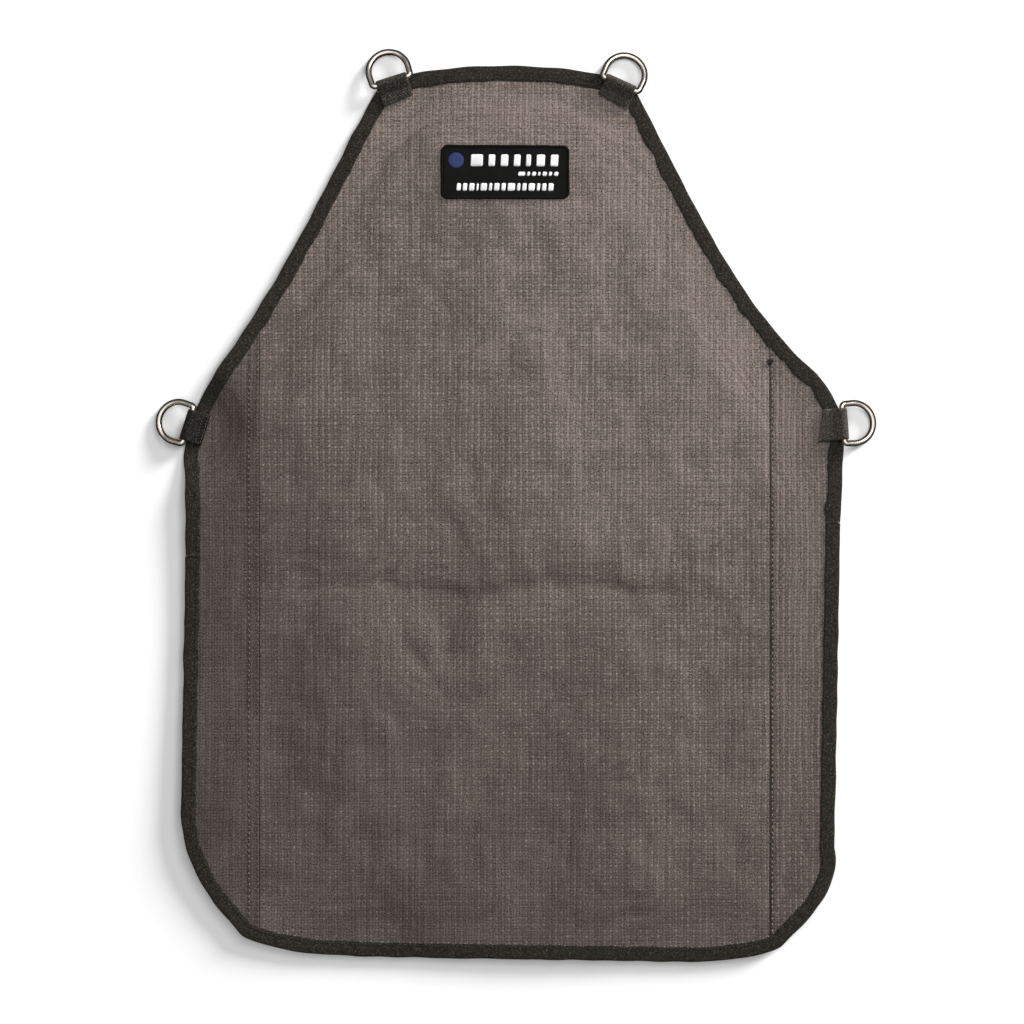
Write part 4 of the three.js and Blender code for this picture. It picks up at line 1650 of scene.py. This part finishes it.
@dataclass
class Label:
    """The chest label: a damask patch, an overlocked rim, and plain satin-stitched shapes."""

    lie: Lie
    corner: float = 0.006
    border: float = 0.0023
    patch_thick: float = 0.0009
    thread: float = 0.00046
    small_gap: float = 0.00085
    large_gap: float = 0.0024

    def __post_init__(self) -> None:
        """Takes the label's place and size from its packed border."""
        low, high = (np.array(c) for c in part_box("label_border"))
        self.centre = (low + high) / 2
        self.half = (high - low)[:2] / 2
        self.base = float(low[2])

    def rounded(self, s: np.ndarray, inset: np.ndarray) -> np.ndarray:
        """Points on a rounded rectangle inside the label's outline.

        Args:
            s: Shares of the way round, 0 to 1.
            inset: How far inside the outline each point lies, up to a little under the corner.

        Returns:
            X and Y added as a last axis.
        """
        flat = self.half - self.corner
        sides = np.array([2 * flat[1], 2 * flat[0], 2 * flat[1], 2 * flat[0]])
        quarter = PI / 2 * self.corner
        marks = np.concatenate([[0.0], np.cumsum(np.stack([sides, np.full(4, quarter)], 1).ravel())])
        marks /= marks[-1]
        knot_x = flat[0] * np.array([1, 1, 1, -1, -1, -1, -1, 1, 1])
        knot_y = flat[1] * np.array([-1, 1, 1, 1, 1, -1, -1, -1, -1])
        turn = PI / 2 * np.array([0, 0, 1, 1, 2, 2, 3, 3, 4])
        x, y, angle = (np.interp(s, marks, k) for k in (knot_x, knot_y, turn))
        reach = self.corner - inset
        return np.stack([x + reach * np.cos(angle), y + reach * np.sin(angle)], -1)

    def raise_to(self, local: np.ndarray, z: np.ndarray) -> np.ndarray:
        """Puts label-local XY and height onto the lying cloth.

        Args:
            local: Label-local X and Y.
            z: Heights above the label's base.

        Returns:
            X, Y and Z in the frame.
        """
        x, y = local[..., 0] + self.centre[0], local[..., 1] + self.centre[1]
        lift = self.lie.height(x, y)
        return np.stack([x, y, z + self.base + lift], -1)

    def patch(self) -> bpy.types.Object:
        """The ground: rings that shrink to the middle, above and below, closed at both poles.

        Returns:
            The ground.
        """
        s = np.linspace(0, 1, 220, endpoint=False)
        rim = self.border * 0.7
        shrink = np.concatenate([np.linspace(0.0, 1.0, 26), np.full(2, 1.0), np.linspace(1.0, 0.0, 6)])
        heights = np.concatenate([np.full(26, self.patch_thick), [0.0006, 0.0002], np.zeros(6)])
        outline = self.rounded(s, np.full_like(s, rim))
        local = outline[None] * shrink[:, None, None]
        z = np.broadcast_to(heights[:, None], local.shape[:2])
        points = self.raise_to(local, z)
        quads = grid_quads(len(shrink), len(s), wrap_cols=True)
        obj = make_object("label_ground", points.reshape(-1, 3), quads)
        merge_close(obj)
        return obj

    def rim(self) -> bpy.types.Object:
        """The overlocked rim: a half-round roll whose threads slant across it.

        The roll's radius is modulated by |sin| of the thread count plus the angle round the roll.

        Returns:
            The rim.
        """
        girth = 4 * (self.half.sum() - 2 * self.corner) + 2 * PI * self.corner
        threads = int(girth / 0.00095)
        s = np.linspace(0, 1, threads * 5, endpoint=False)
        angle = np.linspace(0, 2 * PI, 16, endpoint=False)
        ss, aa = np.meshgrid(s, angle, indexing="ij")
        upper = np.clip(np.sin(aa), 0, 1)
        cord = np.abs(np.sin(PI * ss * threads + 0.9 * aa))
        bulge = 1 + 0.13 * (cord - 0.5) * (0.3 + upper)
        half = self.border / 2
        inset = half - half * np.cos(aa) * bulge + 0.00012 * wander(ss * girth, 0.02, 14)
        z = 0.0004 + np.where(np.sin(aa) > 0, 0.0011, 0.0004) * np.sin(aa) * bulge
        points = self.raise_to(self.rounded(ss, inset), z)
        return swept("label_overlock", points, ring=True)

    def mound(self, local: np.ndarray, rise: np.ndarray) -> np.ndarray:
        """The closed section of a strip of satin stitch: its raised upper side and its flat under side.

        Args:
            local: The strip's label-local places, (steps along, steps across, 2).
            rise: How far its upper side stands above the patch at each of them.

        Returns:
            The section's places at each step along.
        """
        top = self.patch_thick + 0.00002 + rise
        under = np.full_like(top, self.patch_thick - 0.0001)
        return np.concatenate([self.raise_to(local, top), self.raise_to(local[:, ::-1], under)], 1)

    def satin(
        self,
        name: str,
        blocks: Sequence[tuple[float, float]],
        y: float,
        height: float,
        seed: int,
        rounding: float = 0.0012,
    ) -> bpy.types.Object:
        """Blocks of satin stitch: threads laid side by side across each block.

        Across a block at v from -1 to 1 the threads stand (1 - v^4) high, along it each thread is
        a small ridge, and their ends are a little uneven.

        Args:
            name: The piece's name.
            blocks: The (left, right) of each block.
            y: The row's middle.
            height: The row's height.
            seed: Picks the unevenness.
            rounding: How much the ends of a block are rounded off.

        Returns:
            The piece.
        """
        rng = np.random.default_rng(seed)
        points, quads, total = [], [], 0
        v = np.linspace(-1, 1, 9)
        for left, right in blocks:
            count = max(3, int((right - left) / self.thread))
            u = np.linspace(0, 1, count * 4 + 1)
            ragged = np.repeat(rng.uniform(-1, 1, count + 1), 4)[: len(u)] * 0.00014
            end = np.minimum(u, 1 - u) * (right - left)
            short = rounding * (1 - np.sqrt(np.clip(1 - (1 - np.clip(end / rounding, 0, 1)) ** 2, 0, 1)))
            reach = height / 2 - short + ragged
            ridge = 0.00007 * np.abs(np.sin(PI * u * count))
            x = left + u * (right - left)
            slant = 0.0002 * v
            local = np.stack([x[:, None] + slant, y + reach[:, None] * v], -1)
            dome = 0.00042 * (1 - v**4) * smooth(end, -0.0002, 0.0006)[:, None]
            loop = self.mound(local, dome + ridge[:, None] * (1 - v**6))
            rows, cols = loop.shape[:2]
            block = grid_quads(rows, cols, wrap_cols=True)
            flat = loop.reshape(-1, 3)
            half = cols // 2
            steps = np.arange(half - 1)
            cap = np.stack([steps, steps + 1, cols - 2 - steps, cols - 1 - steps], 1)
            block = np.concatenate([block, cap[:, ::-1], cap + (rows - 1) * cols])
            if signed_volume(flat, block) < 0:
                block = block[:, ::-1]
            points.append(flat)
            quads.append(block + total)
            total += len(flat)
        return make_object(name, np.concatenate(points), np.concatenate(quads), closed=False)

    def dot(self) -> bpy.types.Object:
        """The round mark, in satin stitch whose threads run up and down the disc.

        Returns:
            The mark.
        """
        low, high = (np.array(c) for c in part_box("label_dot"))
        middle = (low + high) / 2 - self.centre
        radius = float(high[0] - low[0]) / 2
        count = int(2 * radius / self.thread)
        u = np.linspace(-1, 1, count * 4 + 1)
        v = np.linspace(-1, 1, 15)
        rng = np.random.default_rng(4)
        ragged = np.repeat(rng.uniform(-1, 1, count + 1), 4)[: len(u)] * 0.0002
        half = np.maximum(np.sqrt(np.clip(1 - u**2, 0, 1)) * radius + ragged, 0.0001)
        local = np.stack([np.broadcast_to((u * radius)[:, None], (len(u), 15)), half[:, None] * v], -1)
        local = local + middle[:2]
        ridge = 0.00007 * np.abs(np.sin(PI * (u + 1) / 2 * count))[:, None]
        dome = 0.0005 * (1 - v**4) * np.sqrt(np.clip(1 - u**4, 0, 1))[:, None]
        return swept("label_round_mark", self.mound(local, dome + ridge * (1 - v**6)))

    def bar_blocks(self, node: str, gaps: Sequence[float]) -> tuple[list[tuple[float, float]], float, float]:
        """Splits a packed bar into blocks.

        Args:
            node: The bar's CAD node.
            gaps: Where the gaps between blocks lie, as shares of the bar's width.

        Returns:
            The blocks, the row's middle Y and its height, all label-local.
        """
        low, high = (np.array(c) - self.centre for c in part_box(node))
        marks = [0.0, *gaps, 1.0]
        gap = self.small_gap if high[1] - low[1] < 0.008 else self.large_gap
        width = high[0] - low[0]
        starts = [float(low[0] + a * width + (gap if a > 0 else 0)) for a in marks[:-1]]
        ends = [float(low[0] + b * width - (gap if b < 1 else 0)) for b in marks[1:]]
        blocks = list(zip(starts, ends))
        return blocks, float(low[1] + high[1]) / 2, float(high[1] - low[1])

    def build(self) -> None:
        """Builds and dresses the label."""
        ground = LabelWeave().material()
        overlock = Yarn("label_rim_thread", (0.0052, 0.0052, 0.0053), 0.8, 0.08).material()
        white = Yarn("white_satin_thread", (0.72, 0.72, 0.73), 0.38).material()
        blue = Yarn("blue_satin_thread", (0.011, 0.024, 0.098), 0.5).material()
        fit(self.patch(), APRON, "label_cloth", ground, "label_patch")
        fit(self.rim(), APRON, "label_cloth", overlock, "label_border")
        fit(self.dot(), APRON, "blue_thread", blue, "label_dot")
        bars = {
            "label_upper_bar": ((0.17, 0.31, 0.46, 0.60, 0.72, 0.88), 1),
            "label_small_bar": ((0.2, 0.32, 0.47, 0.58, 0.74, 0.87), 2),
            "label_lower_bar": (tuple(np.cumsum([5, 6, 7, 4, 8, 5, 7, 6, 9, 5, 6, 8, 5, 6]) / 93.0), 3),
        }
        for node, (gaps, seed) in bars.items():
            blocks, y, height = self.bar_blocks(node, gaps)
            piece = self.satin(f"{node}_satin", blocks, y, height, seed)
            fit(piece, APRON, "white_thread", white, node)


# ---------------------------------------------------------------------------------------------
# Studio
# ---------------------------------------------------------------------------------------------


@dataclass
class Studio:
    """The pale floor, the soft light from the upper right, and the camera straight above."""

    view_width: float = 0.869
    lens: float = 85.0
    sensor: float = 36.0
    centre: tuple[float, float] = (-0.0034, -0.0053)
    floor_reach: float = 40.0
    dome: float = 0.19

    def floor(self) -> None:
        """A wide pale floor with a faint tooth."""
        reach = self.floor_reach
        points = reach * np.array([[-1, -1, 0], [1, -1, 0], [1, 1, 0], [-1, 1, 0]])
        obj = make_object("floor", points, np.array([[0, 1, 2, 3]]), closed=False)
        g = Graph("floor_paper")
        tooth = g.noise(g.millimetres(), (0.4, 0.4, 0.4), 3.0)
        g.set(Base_Color=(0.92, 0.92, 0.92, 1.0), Roughness=0.9, Specular_IOR_Level=0.1)
        g.bump(tooth, 0.00005)
        obj.data.materials.append(g.material)
        obj.visible_glossy = False

    def area_light(self, name: str, place: tuple[float, float, float], size: float, power: float) -> None:
        """A square soft box aimed at the middle of the apron.

        Args:
            name: The light's name.
            place: Where it stands.
            size: Its side.
            power: In watts.
        """
        data = bpy.data.lights.new(name, "AREA")
        data.shape = "SQUARE"
        data.size = size
        data.energy = power
        light = bpy.data.objects.new(name, data)
        light.location = place
        light.rotation_euler = (-Vector(place)).to_track_quat("-Z", "Y").to_euler()
        bpy.context.scene.collection.objects.link(light)

    def low_key(self, height: float, azimuth: float, spread: float, power: float) -> None:
        """The main light: broad, soft and low, so that the cloth's edges throw a wide shadow.

        Args:
            height: Its elevation in degrees.
            azimuth: Its direction from +X towards +Y, in degrees.
            spread: Its apparent width in degrees.
            power: Its strength on a surface that faces it.
        """
        data = bpy.data.lights.new("low key", "SUN")
        data.energy = power
        data.angle = math.radians(spread)
        up, round_z = math.radians(height), math.radians(azimuth)
        away = Vector((math.cos(up) * math.cos(round_z), math.cos(up) * math.sin(round_z), math.sin(up)))
        light = bpy.data.objects.new("low key", data)
        light.rotation_euler = (-away).to_track_quat("-Z", "Y").to_euler()
        light.visible_glossy = False
        bpy.context.scene.collection.objects.link(light)

    def world(self) -> None:
        """A dome that the camera sees as even white, and that lights the apron least from the horizon."""
        world = bpy.data.worlds.new("studio")
        bpy.context.scene.world = world
        world.use_nodes = True
        nodes, links = world.node_tree.nodes, world.node_tree.links
        nodes.clear()
        output = nodes.new("ShaderNodeOutputWorld")
        shown, lit = (nodes.new("ShaderNodeBackground") for _ in range(2))
        mix = nodes.new("ShaderNodeMixShader")
        path = nodes.new("ShaderNodeLightPath")
        coord = nodes.new("ShaderNodeTexCoord")
        split = nodes.new("ShaderNodeSeparateXYZ")
        ramp = nodes.new("ShaderNodeValToRGB")
        ramp.color_ramp.elements[0].position = 0.05
        ramp.color_ramp.elements[0].color = (0.03, 0.03, 0.035, 1)
        ramp.color_ramp.elements[1].position = 0.55
        ramp.color_ramp.elements[1].color = (1.0, 1.0, 1.0, 1)
        links.new(coord.outputs["Generated"], split.inputs[0])
        links.new(split.outputs[2], ramp.inputs[0])
        links.new(ramp.outputs[0], lit.inputs["Color"])
        lit.inputs["Strength"].default_value = self.dome
        shown.inputs["Color"].default_value = (0.93, 0.93, 0.94, 1)
        shown.inputs["Strength"].default_value = 1.0
        links.new(path.outputs["Is Camera Ray"], mix.inputs[0])
        links.new(lit.outputs[0], mix.inputs[1])
        links.new(shown.outputs[0], mix.inputs[2])
        links.new(mix.outputs[0], output.inputs["Surface"])

    def camera(self) -> None:
        """A long lens straight above the middle of the picture, its top towards the neck."""
        data = bpy.data.cameras.new("camera")
        data.lens = self.lens
        data.sensor_width = self.sensor
        data.clip_start = 0.01
        data.clip_end = 50.0
        distance = self.view_width * self.lens / self.sensor
        obj = bpy.data.objects.new("camera", data)
        obj.matrix_world = Matrix.Translation((*self.centre, distance + FACE_TOP))
        bpy.context.scene.collection.objects.link(obj)
        bpy.context.scene.camera = obj

    def build(self) -> None:
        """Sets up the studio."""
        self.camera()
        self.floor()
        self.world()
        self.low_key(height=14.0, azimuth=41.0, spread=20.0, power=6.7)
        self.area_light("top", place=(0.1, 0.1, 2.6), size=3.2, power=37.0)
        self.area_light("side", place=(0.55, 0.65, 1.1), size=0.5, power=5.6)
        view = bpy.context.scene.view_settings
        view.view_transform = "Standard"
        view.look = "None"
        view.exposure = 0.0


def main() -> None:
    """Builds the studio and the apron, piece by piece."""
    logging.basicConfig(level=logging.INFO, format="%(message)s")
    Studio().build()
    edge = EdgeLine()
    lie = Lie(edge)
    ClothPanels(edge, lie).build()
    Binding(edge, lie).build()
    SideSeams(lie).build()
    thread = Yarn("tab_thread", (0.066, 0.059, 0.049)).material()
    nickel = Nickel().material()
    tabs = (
        (RingTab("top_left", reach=0.0172, skew=5.0), (0.0190, 0.0178, 0.0152), 1.7),
        (RingTab("top_right", reach=0.0156, skew=-5.0), (0.0270, 0.0240, 0.0200), 1.6),
        (RingTab("left", reach=0.0152, skew=0.0), (0.0075, 0.0067, 0.0057), 0.6),
        (RingTab("right", reach=0.0184, skew=-13.0), (0.0360, 0.0310, 0.0250), 2.6),
    )
    for tab, color, dust in tabs:
        webbing = NarrowFabric(f"{tab.name}_webbing_weave", color, Weave.WEBBING, dust).material()
        tab.build(webbing, thread, nickel)
    Label(lie).build()
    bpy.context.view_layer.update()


if __name__ == "__main__":
    main()
